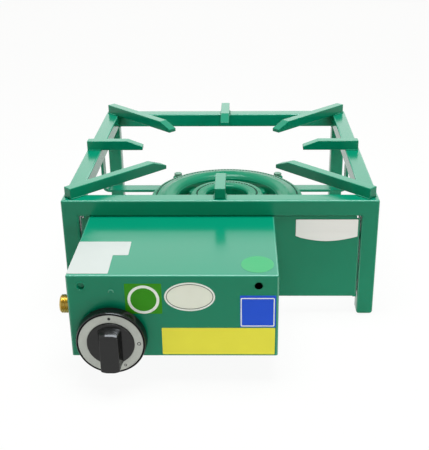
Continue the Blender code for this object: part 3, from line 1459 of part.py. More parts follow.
def make_knob():
    """Skirt, body disc, hub and a tapered grip, moulded in one."""
    floor = DIAL_FRONT - DIAL_THICKNESS - GAP
    back = floor - DISC_THICKNESS
    rim = SKIRT_FRONT_RADIUS - SKIRT_ROUND
    profile = [
        (0.0, BODY_FRONT),
        (BODY_RADIUS - BODY_ROUND, BODY_FRONT),
        (BODY_RADIUS, BODY_FRONT - BODY_ROUND),
        (BODY_RADIUS, floor),
        (DIAL_OUTER + GAP, floor),
        (DIAL_OUTER + GAP, DIAL_FRONT),
        (rim, DIAL_FRONT),
        (SKIRT_FRONT_RADIUS, DIAL_FRONT - SKIRT_ROUND),
        (SKIRT_BACK_RADIUS, SKIRT_BACK),
        (SKIRT_BACK_RADIUS - SKIRT_WALL, SKIRT_BACK),
        (SKIRT_FRONT_RADIUS - SKIRT_WALL, back),
        (HUB_RADIUS, back),
        (HUB_RADIUS, HUB_BACK),
        (0.0, HUB_BACK),
    ]
    knob = solid_of_turn("knob", profile, KNOB_STEPS, AXIS_FRONT)
    knob = join(knob, make_grip())
    bore = rod("bore", STEM_RADIUS + GAP, HUB_BACK - OVERRUN, STEM_TIP + GAP, SMALL_STEPS, AXIS_FRONT)
    flat = block(
        "flat",
        (-STEM_RADIUS * 2, -STEM_TIP * 2, STEM_FLAT + GAP),
        (STEM_RADIUS * 2, 0.0, STEM_RADIUS * 2),
    )
    knob = cut(knob, cut(bore, flat))
    knob = finish(knob, "knob", BLACK)
    knob.location = (KNOB_X, BOX_FRONT, KNOB_Z)
    return knob


def make_grip():
    """The grip: a block that narrows from its root to its front, with soft edges."""
    root = -(BODY_FRONT - OVERRUN / 2)
    front = -GRIP_FRONT
    grip = block("grip", (-1, front, -1), (1, root, 1))
    for corner in grip.data.vertices:
        side = 1 if corner.co.x > 0 else -1
        at_front = corner.co.y < (front + root) / 2
        at_top = corner.co.z > 0
        if at_front:
            width = GRIP_TOP_HALF_WIDTH if at_top else GRIP_TAIL_HALF_WIDTH
            height = GRIP_FRONT_TOP if at_top else GRIP_FRONT_TAIL
        else:
            width = GRIP_ROOT_HALF_WIDTH
            height = GRIP_ROOT_TOP if at_top else GRIP_ROOT_TAIL
        reach = min(width, math.sqrt(max(BODY_RADIUS**2 - height**2, 0.0))) if not at_front else width
        corner.co.x = side * reach
        corner.co.z = height
    return bevel(grip, GRIP_EDGE, 2)


def make_dial_ring():
    """The silver ring let into the knob's front."""
    low = DIAL_FRONT - DIAL_THICKNESS
    profile = [(DIAL_OUTER, low), (DIAL_OUTER, DIAL_FRONT), (DIAL_INNER, DIAL_FRONT), (DIAL_INNER, low)]
    ring = turned("dial_ring", profile, KNOB_STEPS, AXIS_FRONT)
    ring = finish(ring, "dial_ring", SILVER)
    ring.location = (KNOB_X, BOX_FRONT, KNOB_Z)
    return ring


def build_frame():
    rails = (("rear_rail", 0), ("left_rail", 90), ("front_rail", 180), ("right_rail", 270))
    for name, degrees in rails:
        make_rail(name, degrees)
    for rear_or_front, side_y in (("front", -1), ("rear", 1)):
        for left_or_right, side_x in (("left", -1), ("right", 1)):
            make_leg(f"leg_{rear_or_front}_{left_or_right}", side_x, side_y)
    side_reach = HALF - SIDE_BAR_SETBACK
    corner_reach = HALF * math.sqrt(2) - CORNER_BAR_SETBACK
    names = ("right", "rear_right", "rear", "rear_left", "left", "front_left", "front", "front_right")
    for index, name in enumerate(names):
        reach = corner_reach if index % 2 else side_reach
        make_support(f"support_{name}", index * 360 / len(names), reach)
    make_strap("rear_strap", 1)
    make_strap("front_strap", -1)


def build_housing():
    make_front_panel()
    make_control_box()
    make_bottom_cover()
    make_hole_plug()


def build_burner():
    make_burner_body()
    make_outer_crown()
    make_inner_crown()
    make_burner_bolts()
    make_burner_nuts()
    make_mixing_tube()
    make_air_shutter()
    make_shutter_screw()


def build_gas_train():
    make_injector()
    make_injector_nut()
    make_outlet_nut()
    make_supply_pipe()
    make_tap_bonnet()
    make_tap_body()
    make_tap_plug()
    make_tap_stem()
    make_stem_spring()
    make_inlet_nipple()
    make_inlet_locknut()
    make_manifold_pipe()
    make_manifold_clamp()
    make_magnet_unit()
    make_thermocouple()
    make_thermocouple_lead()
    make_probe_bracket()


def build_knob():
    make_knob()
    make_dial_ring()


def set_down():
    """Carry every piece on an empty that stands under the frame's centre."""
    centre = bpy.data.objects.new("frame_centre", None)
    bpy.context.scene.collection.objects.link(centre)
    centre.location = (0, FRAME_CENTRE_Y, 0)
    for piece in PARTS.objects:
        piece.parent = centre


build_frame()
build_housing()
build_burner()
build_gas_train()
build_knob()
set_down()
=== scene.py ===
from math import atan2, cos, dist, hypot, pi, radians, sin

import bmesh
import bpy
from mathutils import Matrix, Vector


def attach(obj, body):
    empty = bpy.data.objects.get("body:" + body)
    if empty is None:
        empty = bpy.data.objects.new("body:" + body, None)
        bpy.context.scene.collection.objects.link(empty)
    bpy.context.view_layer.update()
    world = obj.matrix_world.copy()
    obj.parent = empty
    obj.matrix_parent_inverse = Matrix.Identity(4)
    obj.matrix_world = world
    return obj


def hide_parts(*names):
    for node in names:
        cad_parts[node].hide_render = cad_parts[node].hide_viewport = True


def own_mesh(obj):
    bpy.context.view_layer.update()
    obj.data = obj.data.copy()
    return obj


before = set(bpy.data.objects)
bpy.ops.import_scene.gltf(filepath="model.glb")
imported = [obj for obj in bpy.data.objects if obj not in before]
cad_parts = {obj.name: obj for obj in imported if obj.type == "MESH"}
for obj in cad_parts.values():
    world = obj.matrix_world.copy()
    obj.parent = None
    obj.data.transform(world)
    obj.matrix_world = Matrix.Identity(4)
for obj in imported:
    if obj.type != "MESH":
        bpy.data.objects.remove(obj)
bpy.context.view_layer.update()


# Welded frame: rails and legs
# Four mild steel square tubes, mitred and welded into a square, on four legs of the same tube with
# pressed-in rounded feet. The welds are ground flush and the whole frame is powder coated green.
MID_Y = 0.0861
FRAME_HALF = 0.1875
TUBE_HALF = 0.010
TUBE_CORNER = 0.0023
RAIL_MIDDLE_Z = 0.1434
RAIL_TOP_Z = 0.1534
FOOT_ROUND = 0.005
# Sets the rails' sides just inside the legs' sides
FLUSH = 0.00004


def started(kind, name, inputs, outputs):
    """A new node tree with named sockets; gives the tree, what it reads and what it feeds."""
    tree = bpy.data.node_groups.new(name, kind)
    for direction, rows in (("INPUT", inputs), ("OUTPUT", outputs)):
        for title, form, *value in rows:
            socket = tree.interface.new_socket(title, in_out=direction, socket_type="NodeSocket" + form)
            if value:
                socket.default_value = value[0]
    return tree, tree.nodes.new("NodeGroupInput").outputs, tree.nodes.new("NodeGroupOutput").inputs


def added(tree, kind, feeds=(), **settings):
    """Add a node; a kind without a family's name is one of the tree's own family. Each feed is a
    value, a socket, or a node whose first output is taken."""
    node = tree.nodes.new(kind if "Node" in kind else tree.bl_idname.removesuffix("Tree") + kind)
    for name, value in settings.items():
        setattr(node, name, value)
    for key, value in dict(feeds).items():
        if isinstance(value, bpy.types.Node):
            value = value.outputs[0]
        if isinstance(value, bpy.types.NodeSocket):
            tree.links.new(value, node.inputs[key])
        else:
            node.inputs[key].default_value = value
    return node


def relief_group():
    """Shared surface effect: fine grain, slow clouding and specks, read in metres from Vector."""
    group, entry, leave = started(
        "ShaderNodeTree", "surface_relief",
        [("Grain per metre", "Float", 900.0), ("Grain detail", "Float", 2.0),
         ("Cloud per metre", "Float", 14.0), ("Speck per metre", "Float", 1500.0),
         ("Speck share", "Float", 0.2), ("Vector", "Vector")],
        [("Height", "Float"), ("Cloud", "Float"), ("Specks", "Float")])
    where = entry["Vector"]
    grain = added(group, "TexNoise",
                  {"Vector": where, "Scale": entry["Grain per metre"], "Detail": entry["Grain detail"]})
    cloud = added(group, "TexNoise", {"Vector": where, "Scale": entry["Cloud per metre"], "Detail": 3.0})
    specks = added(group, "TexNoise", {"Vector": where, "Scale": entry["Speck per metre"]})
    least, full = 0.75, 0.8
    edge = added(group, "Math", {0: least, 1: entry["Speck share"]}, operation="SUBTRACT")
    mask = added(group, "MapRange", {"Value": specks, "From Min": edge, "From Max": full})
    for title, source in (("Height", grain), ("Cloud", cloud), ("Specks", mask)):
        group.links.new(source.outputs[0], leave[title])
    return group


surface_relief = relief_group()
# Sockets of a colour mix: its two colours and its result
COLOUR_A, COLOUR_B, COLOUR_MIXED = 6, 7, 2


def coating(name, low, high, rough, metallic=0.0, specular=0.5, grain=900.0, depth=0.00002,
            detail=2.0, cloud=14.0, specks=(1500.0, 0.1), speck_colour=None, stretch=(1, 1, 1)):
    """A finish: two tones that cloud into each other, uneven gloss, fine relief and specks."""
    made = bpy.data.materials.new(name)
    made.use_nodes = True
    tree = made.node_tree
    shader = tree.nodes["Principled BSDF"].inputs
    shader["Metallic"].default_value = metallic
    shader["Specular IOR Level"].default_value = specular
    place = added(tree, "TexCoord").outputs["Object"]
    grid = added(tree, "Mapping", {"Vector": place, "Scale": stretch})
    relief = added(tree, "Group", {
        "Vector": grid, "Grain per metre": grain, "Grain detail": detail, "Cloud per metre": cloud,
        "Speck per metre": specks[0], "Speck share": specks[1]}, node_tree=surface_relief).outputs
    tone = added(tree, "Mix",
                 {COLOUR_A: (*low, 1), COLOUR_B: (*high, 1), "Factor": relief["Cloud"]}, data_type="RGBA")
    spotted = added(tree, "Mix", {COLOUR_A: tone.outputs[COLOUR_MIXED], COLOUR_B: (*(speck_colour or low), 1),
                                  "Factor": relief["Specks"]}, data_type="RGBA")
    gloss = added(tree, "MapRange", {"Value": relief["Cloud"], "To Min": rough[0], "To Max": rough[1]})
    bump = added(tree, "Bump", {"Height": relief["Height"], "Distance": depth})
    for title, source in (("Base Color", spotted.outputs[COLOUR_MIXED]),
                          ("Roughness", gloss.outputs[0]), ("Normal", bump.outputs[0])):
        tree.links.new(source, shader[title])
    return made


green_coat = coating("green_powder_coat", (0.0, 0.220, 0.116), (0.0, 0.247, 0.134), (0.17, 0.23),
                     specular=0.29, grain=620.0, cloud=9.0)
# A lighter, glossier copy of the frame's green, painted on rounded bends as their highlight.
bend_highlight_coat = coating("glossy_coat_on_bends", (0.03, 0.30, 0.18), (0.06, 0.34, 0.22), (0.20, 0.26),
                    specular=0.6, grain=620.0, cloud=9.0)


def highlight_bends(made):
    """Give the upward and upright bends a lighter, glossier coat: a painted highlight on the edges."""
    flat, upwards, upright = 0.97, 0.30, 0.1
    made.data.materials.append(bend_highlight_coat)
    for polygon in made.data.polygons:
        normal = polygon.normal
        if max(abs(part) for part in normal) < flat and (normal.z > upwards or abs(normal.z) < upright):
            polygon.material_index = 1


def shown(name, data):
    """A new object in the scene, at the origin."""
    made = bpy.data.objects.new(name, data)
    bpy.context.scene.collection.objects.link(made)
    return made


MERGE = 0.000002
PER_METRE = 10000
CREASE = 38.0


def finished(name, shape, coat, sharp=CREASE, edge=0.0, steps=3):
    """Make a closed piece from a shape; its edges are rounded by edge, its flat faces stay flat."""
    bmesh.ops.remove_doubles(shape, verts=shape.verts, dist=MERGE)
    bmesh.ops.recalc_face_normals(shape, faces=shape.faces)
    mesh = bpy.data.meshes.new(name)
    shape.to_mesh(mesh)
    shape.free()
    made = shown(name, mesh)
    mesh.materials.append(coat)
    mesh.shade_smooth()
    if edge:
        rounding = made.modifiers.new("rounded_edges", "BEVEL")
        rounding.width = edge
        rounding.segments = steps
        rounding.limit_method = "ANGLE"
        rounding.angle_limit = radians(sharp)
    else:
        mesh.set_sharp_from_angle(angle=radians(sharp))
    made.modifiers.new("even_faces", "WEIGHTED_NORMAL").keep_sharp = True
    return made


def sized(*rows):
    """Rows of lengths in metres, from rows in tenths of a millimetre."""
    return [[length / PER_METRE for length in row] for row in rows]


def placed(made, slot, *nodes, body="frame"):
    """Say on which body a piece rides and which solids it replaces; slot is not used."""
    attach(made, body)
    if nodes:
        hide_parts(*nodes)


def skin(rings, loop=False, shape=None):
    """Join rings of points into a skin, closed at its ends or back on itself; gives its shape."""
    shape = shape or bmesh.new()
    rows = [[shape.verts.new(point) for point in ring] for ring in rings]
    pairs = list(zip(rows, rows[1:])) + ([(rows[-1], rows[0])] if loop else [])
    for low, high in pairs:
        for index in range(len(low)):
            after = (index + 1) % len(low)
            shape.faces.new((low[index], low[after], high[after], high[index]))
    if not loop:
        shape.faces.new(rows[0][::-1])
        shape.faces.new(rows[-1])
    return shape


def softened(points, cut, steps=4):
    """Round the corners of a flat outline; cut is one length or one for each corner."""
    made = []
    for index, corner in enumerate(points):
        length = cut[index] if isinstance(cut, (list, tuple)) else cut
        corner, before, after = (Vector(points[k % len(points)]) for k in (index, index - 1, index + 1))
        start = corner + (before - corner).normalized() * length
        stop = corner + (after - corner).normalized() * length
        for step in range(steps + 1):
            share = step / steps
            spot = start * (1 - share) ** 2 + corner * 2 * share * (1 - share) + stop * share ** 2
            made.append(tuple(spot))
    return made


def rectangle(half_x, half_y, cut, steps=4):
    """A rectangle about the origin, with its corners rounded."""
    return softened([(-half_x, -half_y), (half_x, -half_y), (half_x, half_y), (-half_x, half_y)], cut, steps)


BEND_STEPS = 5
FOOT_STEPS = 4
TUBE_MIDDLE = FRAME_HALF - TUBE_HALF
section = rectangle(TUBE_HALF - FLUSH, TUBE_HALF, TUBE_CORNER)
corner_rings = []
for bearing in (180, 270, 0, 90):
    facing = Matrix.Rotation(radians(bearing), 3, "Z")
    for step in range(BEND_STEPS + 1):
        turn = radians(90 * step / BEND_STEPS)
        ring = []
        for out, up in section:
            bend = max(0.0, out - (TUBE_HALF - TUBE_CORNER))
            reach = TUBE_MIDDLE + out - bend
            spot = facing @ Vector((reach + bend * cos(turn), reach + bend * sin(turn), up))
            ring.append((spot.x, MID_Y + spot.y, RAIL_MIDDLE_Z + spot.z))
        corner_rings.append(ring)
shape = skin(corner_rings, loop=True)
for sign_x in (-1, 1):
    for sign_y in (-1, 1):
        leg_x, leg_y = sign_x * TUBE_MIDDLE, MID_Y + sign_y * TUBE_MIDDLE
        rings = []
        for step in range(FOOT_STEPS + 1):
            turn = radians(90 * step / FOOT_STEPS)
            half = TUBE_HALF - FOOT_ROUND * (1 - sin(turn))
            rings.append([(leg_x + x, leg_y + y, FOOT_ROUND * (1 - cos(turn)))
                          for x, y in rectangle(half, half, TUBE_CORNER)])
        rings.append([(x, y, RAIL_TOP_Z - TUBE_CORNER) for x, y, _ in rings[-1]])
        skin(rings, shape=shape)
welded_frame = finished("welded_frame", shape, green_coat)
# Its bends get the painted highlight.
highlight_bends(welded_frame)
placed(welded_frame, "green_paint", "front_rail", "rear_rail", "left_rail", "right_rail",
       "leg_front_left", "leg_front_right", "leg_rear_left", "leg_rear_right")


# Support bars
# Eight square steel bars with sawn, bevelled noses, which carry the wok. They are laid on the rails,
# four at mid-side and four at 45 degrees in the corners, and tacked with short welds on both flanks.
BAR_HALF = 0.00625
BAR_HEIGHT = 0.013
WELD_GAP = 0.0003
BAR_SEAT = RAIL_TOP_Z + WELD_GAP
NOSE_LENGTH = 0.021
NOSE_HEIGHT = 0.005
SIDE_WELD_START = 0.1685
CORNER_WELD = (0.236, 0.2535)
WELD_END = 0.001
WELD_OFFSET = 0.0004
WELD_LIFT = 0.0002
# Name, bearing in degrees, and the distances of the outer end and the nose from the middle
bar_places = [("front", 270, 0.1835, 0.1100), ("front_right", 315, 0.2546, 0.1040),
              ("right", 0, 0.1850, 0.1095), ("rear_right", 45, 0.2546, 0.1060),
              ("rear", 90, 0.1865, 0.1070), ("rear_left", 135, 0.2546, 0.1070),
              ("left", 180, 0.1865, 0.1105), ("front_left", 225, 0.2546, 0.1070)]
weld_lines = []
for bar_name, bearing, outer, nose in bar_places:
    side = [(outer, 0), (outer, BAR_HEIGHT), (nose + NOSE_LENGTH, BAR_HEIGHT), (nose, NOSE_HEIGHT), (nose, 0)]
    turn = Matrix.Translation((0, MID_Y, BAR_SEAT)) @ Matrix.Rotation(radians(bearing), 4, "Z")
    rings = [[turn @ Vector((out, across, up)) for out, up in side] for across in (-BAR_HALF, BAR_HALF)]
    bar = finished(f"bar_{bar_name}", skin(rings), green_coat, sharp=20.0, edge=0.0008)
    placed(bar, "green_paint", f"support_{bar_name}")
    span = (SIDE_WELD_START, outer - WELD_END) if bearing % 90 == 0 else CORNER_WELD
    for across in (-BAR_HALF - WELD_OFFSET, BAR_HALF + WELD_OFFSET):
        weld_lines.append([turn @ Vector((out, across, WELD_LIFT)) for out in span])


# Weld beads
# Short arc-welded beads with their ripples, painted over with the frame. They lie along the flanks of
# the bars, at the tops of the straps' arms, and under the rails on the inner sides of the legs.
BEAD_RADIUS = 0.0011
BEAD_STEP = 0.0013


def maker_tree(name, *inputs):
    """An empty geometry tree: a base shape, the named inputs and a coat, and what it makes."""
    return started("GeometryNodeTree", name, [("Geometry", "Geometry"), *inputs, ("Coat", "Material")],
                   [("Geometry", "Geometry")])


def coated_end(tree, source, entry, leave, smooth=False, only=True):
    """End a geometry tree: its instances become real, and what only picks out takes the coat."""
    last = added(tree, "RealizeInstances", {"Geometry": source})
    if smooth:
        last = added(tree, "SetShadeSmooth", {"Geometry": last})
    last = added(tree, "SetMaterial", {"Geometry": last, "Selection": only, "Material": entry["Coat"]})
    tree.links.new(last.outputs[0], leave["Geometry"])
    return tree


def bead_tree():
    """A row of flattened ripples along a path."""
    tree, entry, leave = maker_tree("weld_bead", ("Bead Radius", "Float", BEAD_RADIUS),
                                    ("Ripple Step", "Float", BEAD_STEP))
    path = added(tree, "MeshToCurve", {"Mesh": entry["Geometry"]})
    steps = added(tree, "ResampleCurve", {"Curve": path, "Length": entry["Ripple Step"]}, mode="LENGTH")
    ripple = added(tree, "MeshUVSphere", {"Segments": 10, "Rings": 6, "Radius": entry["Bead Radius"]})
    along = added(tree, "InputTangent")
    turn = added(tree, "FunctionNodeAlignRotationToVector", {"Vector": along}, axis="X")
    uneven = added(tree, "FunctionNodeRandomValue",
                   {"Min": (0.85, 0.9, 0.7), "Max": (1.05, 1.25, 0.95), "Seed": 7}, data_type="FLOAT_VECTOR")
    lay = added(tree, "InstanceOnPoints",
                {"Points": steps, "Instance": ripple, "Rotation": turn, "Scale": uneven})
    return coated_end(tree, lay, entry, leave, smooth=True)


def plain_mesh(piece):
    """The mesh that a piece has after its modifiers."""
    graph = bpy.context.evaluated_depsgraph_get()
    return bpy.data.meshes.new_from_object(piece.evaluated_get(graph))


def grown(name, base, tree, **values):
    """Run a tree on a base object and keep the result as a plain mesh in a new object."""
    maker = base.modifiers.new(name, "NODES")
    maker.node_group = tree
    for item in tree.interface.items_tree:
        key = item.name.lower().replace(" ", "_")
        if item.in_out == "INPUT" and key in values:
            maker[item.identifier] = values[key]
    mesh = plain_mesh(base)
    base.modifiers.remove(maker)
    bpy.data.objects.remove(base)
    mesh.name = name
    return shown(name, mesh)


def lines_object(lines):
    """Loose points and lines for a tree to work along."""
    mesh = bpy.data.meshes.new("lines")
    points, edges = [], []
    for line in lines:
        first = len(points)
        points.extend(tuple(point) for point in line)
        edges.extend((first + k, first + k + 1) for k in range(len(line) - 1))
    mesh.from_pydata(points, edges, [])
    return shown("lines", mesh)


STRAP_REACH = 0.08435
STRAP_WELD_X = 0.1802
STRAP_WELD_HALF = 0.0085
STRAP_WELD_END = 0.2
STRAP_WELD_Z = 0.1330
LEG_INNER = FRAME_HALF - 2 * TUBE_HALF - WELD_GAP
LEG_WELD_HALF = 0.008
LEG_WELD_SPAN = (0.0023, 0.018)
LEG_WELD_Z = 0.1329
for sign_x in (-1, 1):
    for strap_y in (MID_Y - STRAP_REACH, MID_Y + STRAP_REACH):
        for across in (-STRAP_WELD_HALF, STRAP_WELD_HALF):
            weld_lines.append([(sign_x * STRAP_WELD_X, strap_y + across * share, STRAP_WELD_Z)
                               for share in (1, STRAP_WELD_END)])
    for sign_y in (-1, 1):
        leg_y = MID_Y + sign_y * TUBE_MIDDLE
        weld_lines.append([(sign_x * LEG_INNER, leg_y + along, LEG_WELD_Z)
                           for along in (-LEG_WELD_HALF, LEG_WELD_HALF)])
        weld_lines.append([(sign_x * (LEG_INNER + along), MID_Y + sign_y * LEG_INNER, LEG_WELD_Z)
                           for along in LEG_WELD_SPAN])
welds = grown("weld_beads", lines_object(weld_lines), bead_tree(),
              bead_radius=BEAD_RADIUS, ripple_step=BEAD_STEP, coat=green_coat)
placed(welds, "green_paint")


# Cross straps
# Two flat steel bars, bent up at both ends and welded under the side rails. The burner is bolted down
# on them.
STRAP_TOP = 0.0635
STRAP_THICK = 0.004
STRAP_HALF = 0.010
STRAP_OUT = 0.1845
STRAP_BEND = 0.012
STRAP_ARM_TOP = 0.1331
for strap_name, strap_y in (("front", MID_Y - STRAP_REACH), ("rear", MID_Y + STRAP_REACH)):
    under = STRAP_TOP - STRAP_THICK
    outside = softened([(-STRAP_OUT, STRAP_ARM_TOP), (-STRAP_OUT, under), (STRAP_OUT, under),
                        (STRAP_OUT, STRAP_ARM_TOP)], [0.0, STRAP_BEND, STRAP_BEND, 0.0], 8)
    inner = STRAP_OUT - STRAP_THICK
    inner_bend = STRAP_BEND - STRAP_THICK
    inside = softened([(inner, STRAP_ARM_TOP), (inner, STRAP_TOP), (-inner, STRAP_TOP),
                       (-inner, STRAP_ARM_TOP)], [0.0, inner_bend, inner_bend, 0.0], 8)
    outline = outside + inside
    outline = [point for k, point in enumerate(outline) if dist(point, outline[k - 1]) > 0.00001]
    half = len(outline) // 2
    shape = bmesh.new()
    front_row = [shape.verts.new((x, strap_y - STRAP_HALF, z)) for x, z in outline]
    rear_row = [shape.verts.new((x, strap_y + STRAP_HALF, z)) for x, z in outline]
    count = len(outline)
    for k in range(count):
        after = (k + 1) % count
        shape.faces.new((front_row[k], front_row[after], rear_row[after], rear_row[k]))
    for row in (front_row, rear_row):
        for k in range(half - 1):
            shape.faces.new((row[k], row[k + 1], row[count - 2 - k], row[count - 1 - k]))
    strap = finished(f"{strap_name}_cross_strap", shape, green_coat, edge=0.0007)
    placed(strap, "green_paint", f"{strap_name}_strap")


# Front panel and bare plate
# A folded steel sheet between the front legs, tacked to them by its side tabs and painted with the
# frame. A plain satin aluminium plate with a curved lower edge is glued on its right half.
PANEL_FACE_Y = MID_Y - 0.1845


def copied(node):
    """A copy of a solid's mesh, merged, with its flat faces joined."""
    shape = bmesh.new()
    shape.from_mesh(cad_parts[node].data)
    bmesh.ops.remove_doubles(shape, verts=shape.verts, dist=MERGE)
    bmesh.ops.dissolve_limit(shape, angle_limit=radians(0.4), verts=shape.verts, edges=shape.edges)
    return shape


def refined(node, name, coat, slot, edge=0.0004, body="frame", sharp=35.0, shape=None):
    """A finer copy of a solid, or of a shape made from it, with its edges rounded."""
    made = finished(name, shape or copied(node), coat, sharp=sharp, edge=edge, steps=2)
    placed(made, slot, node, body=body)
    return made


PANEL_SIDE = 0.1653
SIDE_FROM, SIDE_TO = 0.160, 0.1655
PANEL_SHEET = 0.0015
TAB_WIDTH = 0.0045
TAB_LOW, TAB_HIGH = 0.0240, 0.0275
# Each side of the panel, and how much further out the sheet reaches there than its solid
panel_sides = ((-1, 0.0008), (1, 0.0014))
shape = copied("front_panel")
for sign, wider in panel_sides:
    for vert in shape.verts:
        if SIDE_FROM < sign * vert.co.x < SIDE_TO:
            vert.co.x += sign * wider
    near, far = sorted((sign * (PANEL_SIDE - TAB_WIDTH + wider), sign * (PANEL_SIDE + wider)))
    corner = [(near, TAB_LOW), (far, TAB_LOW), (far, TAB_HIGH), (near, TAB_HIGH)]
    skin([[(x, PANEL_FACE_Y + deep, z) for x, z in corner] for deep in (PANEL_SHEET, 0.0)], shape=shape)
# The panel's bends get the painted highlight.
highlight_bends(refined("front_panel", "panel_sheet", green_coat, "green_paint", 0.0003, sharp=50.0, shape=shape))
brushed = coating("brushed_aluminium", (0.72, 0.71, 0.67), (0.80, 0.79, 0.75), (0.34, 0.46), metallic=0.85,
                  grain=260.0, depth=0.00001, detail=4.0, cloud=30.0, stretch=(0.12, 1, 3.2))
PLATE_TOP, PLATE_SIDE, PLATE_LOW = 0.1281, 0.1057, 0.0998
PLATE_LEFT, PLATE_RIGHT = 0.0898, 0.1638
PLATE_TILT = 0.0008
PLATE_THICK = 0.0006
PLATE_GLUE = 0.00002
ARC_STEPS = 12
corners = [(PLATE_RIGHT, PLATE_SIDE), (PLATE_RIGHT, PLATE_TOP), (PLATE_LEFT, PLATE_TOP),
           (PLATE_LEFT, PLATE_SIDE + PLATE_TILT)]
outline = softened(corners, [0.0005, 0.0011, 0.0011, 0.0005], 3)
for step in range(1, ARC_STEPS):
    share = step / ARC_STEPS
    outline.append((PLATE_LEFT + (PLATE_RIGHT - PLATE_LEFT) * share,
                    PLATE_SIDE - (PLATE_SIDE - PLATE_LOW) * sin(pi * share)))
shape = skin([[(x, PANEL_FACE_Y - out, z) for x, z in outline] for out in (PLATE_GLUE, PLATE_THICK)])
placed(finished("bare_plate", shape, brushed, sharp=40.0, edge=0.0002), "dial_silver")


# Control box
# A box of folded sheet steel screwed to the panel, with a screwed bottom cover. Its front carries the
# tap, an open hole on the right, a pressed-in dished plug on the left and a small half-round index.
BOX_FACE_Y = MID_Y - 0.332
BOX_TOP_Z = 0.130
BOX_REAR_Y = MID_Y - 0.1848
REAR_RISE = 0.0030
RISE_LENGTH = 0.060
RISE_STEPS = 8
RISE_CURVE = 1.15
RISE_FROM_Z, RISE_BAND = 0.118, 0.008
shape = copied("control_box")
for step in range(1, RISE_STEPS + 1):
    everything = shape.verts[:] + shape.edges[:] + shape.faces[:]
    bmesh.ops.bisect_plane(shape, geom=everything, plane_no=(0, 1, 0),
                           plane_co=(0, BOX_REAR_Y - RISE_LENGTH * step / RISE_STEPS, 0))
for vert in shape.verts:
    near = max(0.0, 1 - (BOX_REAR_Y - vert.co.y) / RISE_LENGTH)
    height = min(1.0, max(0.0, (vert.co.z - RISE_FROM_Z) / RISE_BAND))
    vert.co.z += REAR_RISE * near ** RISE_CURVE * height
# The box's bends get the painted highlight.
highlight_bends(refined("control_box", "box_sheet", green_coat, "green_paint", 0.0003, sharp=50.0, shape=shape))
refined("bottom_cover", "box_cover", green_coat, "green_paint", 0.0003, sharp=50.0)
# Lays a shape's own Z along -Y, out of the box's front, and its Y upwards
TO_FRONT = Matrix(((1, 0, 0, 0), (0, 0, -1, 0), (0, 1, 0, 0), (0, 0, 0, 1)))


def turned(profile, steps, place=Matrix(), shape=None):
    """Turn a closed profile of (radius, height) about its own Z; place sets the axis down."""
    rows = []
    for step in range(steps):
        turn = 2 * pi * step / steps
        rows.append([place @ Vector((r * cos(turn), r * sin(turn), h)) for r, h in profile])
    return skin(rows, loop=True, shape=shape)


PLUG_X, PLUG_Z = -0.1405, 0.1178
plug_place = Matrix.Translation((PLUG_X, BOX_FACE_Y, PLUG_Z)) @ TO_FRONT
shape = turned(sized((0, -27), (31, -27), (35, -22), (36, 0), (40, 5), (50, 6), (54, 3), (54, 0.3), (40, 0.3),
                     (40, -35), (34, -35), (32, -32), (0, -32)), 40, plug_place)
placed(finished("dished_plug", shape, green_coat), "green_paint", "hole_plug")
INDEX_X, INDEX_Z = -0.1095, 0.1110
INDEX_SINK = 0.0004
INDEX_STEPS = 12
index_section = sized((33, 0), (32, 10), (29, 15), (24, 17), (20, 15), (18, 10), (17, 0))
index_rings = []
for step in range(INDEX_STEPS + 1):
    turn = radians(180 * step / INDEX_STEPS)
    index_rings.append([(INDEX_X + radius * cos(turn), BOX_FACE_Y + INDEX_SINK - lift,
                         INDEX_Z + radius * sin(turn)) for radius, lift in index_section])
# The index is painted wholly in the lighter bend coat, as a painted highlight on the bump.
placed(finished("half_round_index", skin(index_rings), bend_highlight_coat, sharp=60.0), "green_paint")


# Screws
# Zinc-plated pan-head screws with cross recesses. They hold the box on the panel, the cover under the
# box, the tap behind the box's face, the mixing tube on the burner and the tap's saddle.
zinc = coating("zinc_plated_steel", (0.42, 0.43, 0.44), (0.56, 0.57, 0.57), (0.28, 0.42), metallic=1.0,
               grain=1400.0, depth=0.00001, cloud=120.0)


def screw_head():
    """One pan head: a flat dome with a cross recess, standing on Z = 0."""
    shape = turned(sized((0, 0), (34, 0), (35, 6), (31, 14), (21, 19), (0, 21)), 20)
    head = finished("head", shape, zinc, sharp=45.0)
    for size in ((0.0021, 0.0004), (0.0004, 0.0021)):
        cross = skin([[(x * share, y * share, up) for x, y in rectangle(*size, 0.0001, 1)]
                      for up, share in ((0.0009, 0.5), (0.0025, 1.15))])
        cutter = finished("cutter", cross, zinc)
        cut = head.modifiers.new("cut", "BOOLEAN")
        cut.object, cut.operation, cut.solver = cutter, "DIFFERENCE", "EXACT"
        mesh = plain_mesh(head)
        head.modifiers.clear()
        head.data = mesh
        bpy.data.objects.remove(cutter)
    return head


def seat_tree():
    """One head on every point, its axis along Direction, each turned by its own angle."""
    tree, entry, leave = maker_tree("seated_heads", ("Head", "Object"), ("Direction", "Vector", (0, 0, 1)),
                                    ("Head Size", "Float", 1.0))
    head = added(tree, "ObjectInfo", {"Object": entry["Head"]}).outputs["Geometry"]
    turn = added(tree, "FunctionNodeAlignRotationToVector", {"Vector": entry["Direction"]}, axis="Z")
    lay = added(tree, "InstanceOnPoints", {"Points": entry["Geometry"], "Instance": head, "Rotation": turn,
                                           "Scale": entry["Head Size"]})
    angle = added(tree, "FunctionNodeRandomValue", {"Max": (0, 0, pi), "Seed": 11}, data_type="FLOAT_VECTOR")
    spin = added(tree, "RotateInstances", {"Instances": lay, "Rotation": angle})
    return coated_end(tree, spin, entry, leave)


heads_tree = seat_tree()
pan_head = screw_head()
BOX_SCREW_X = (-0.1482, 0.0566)
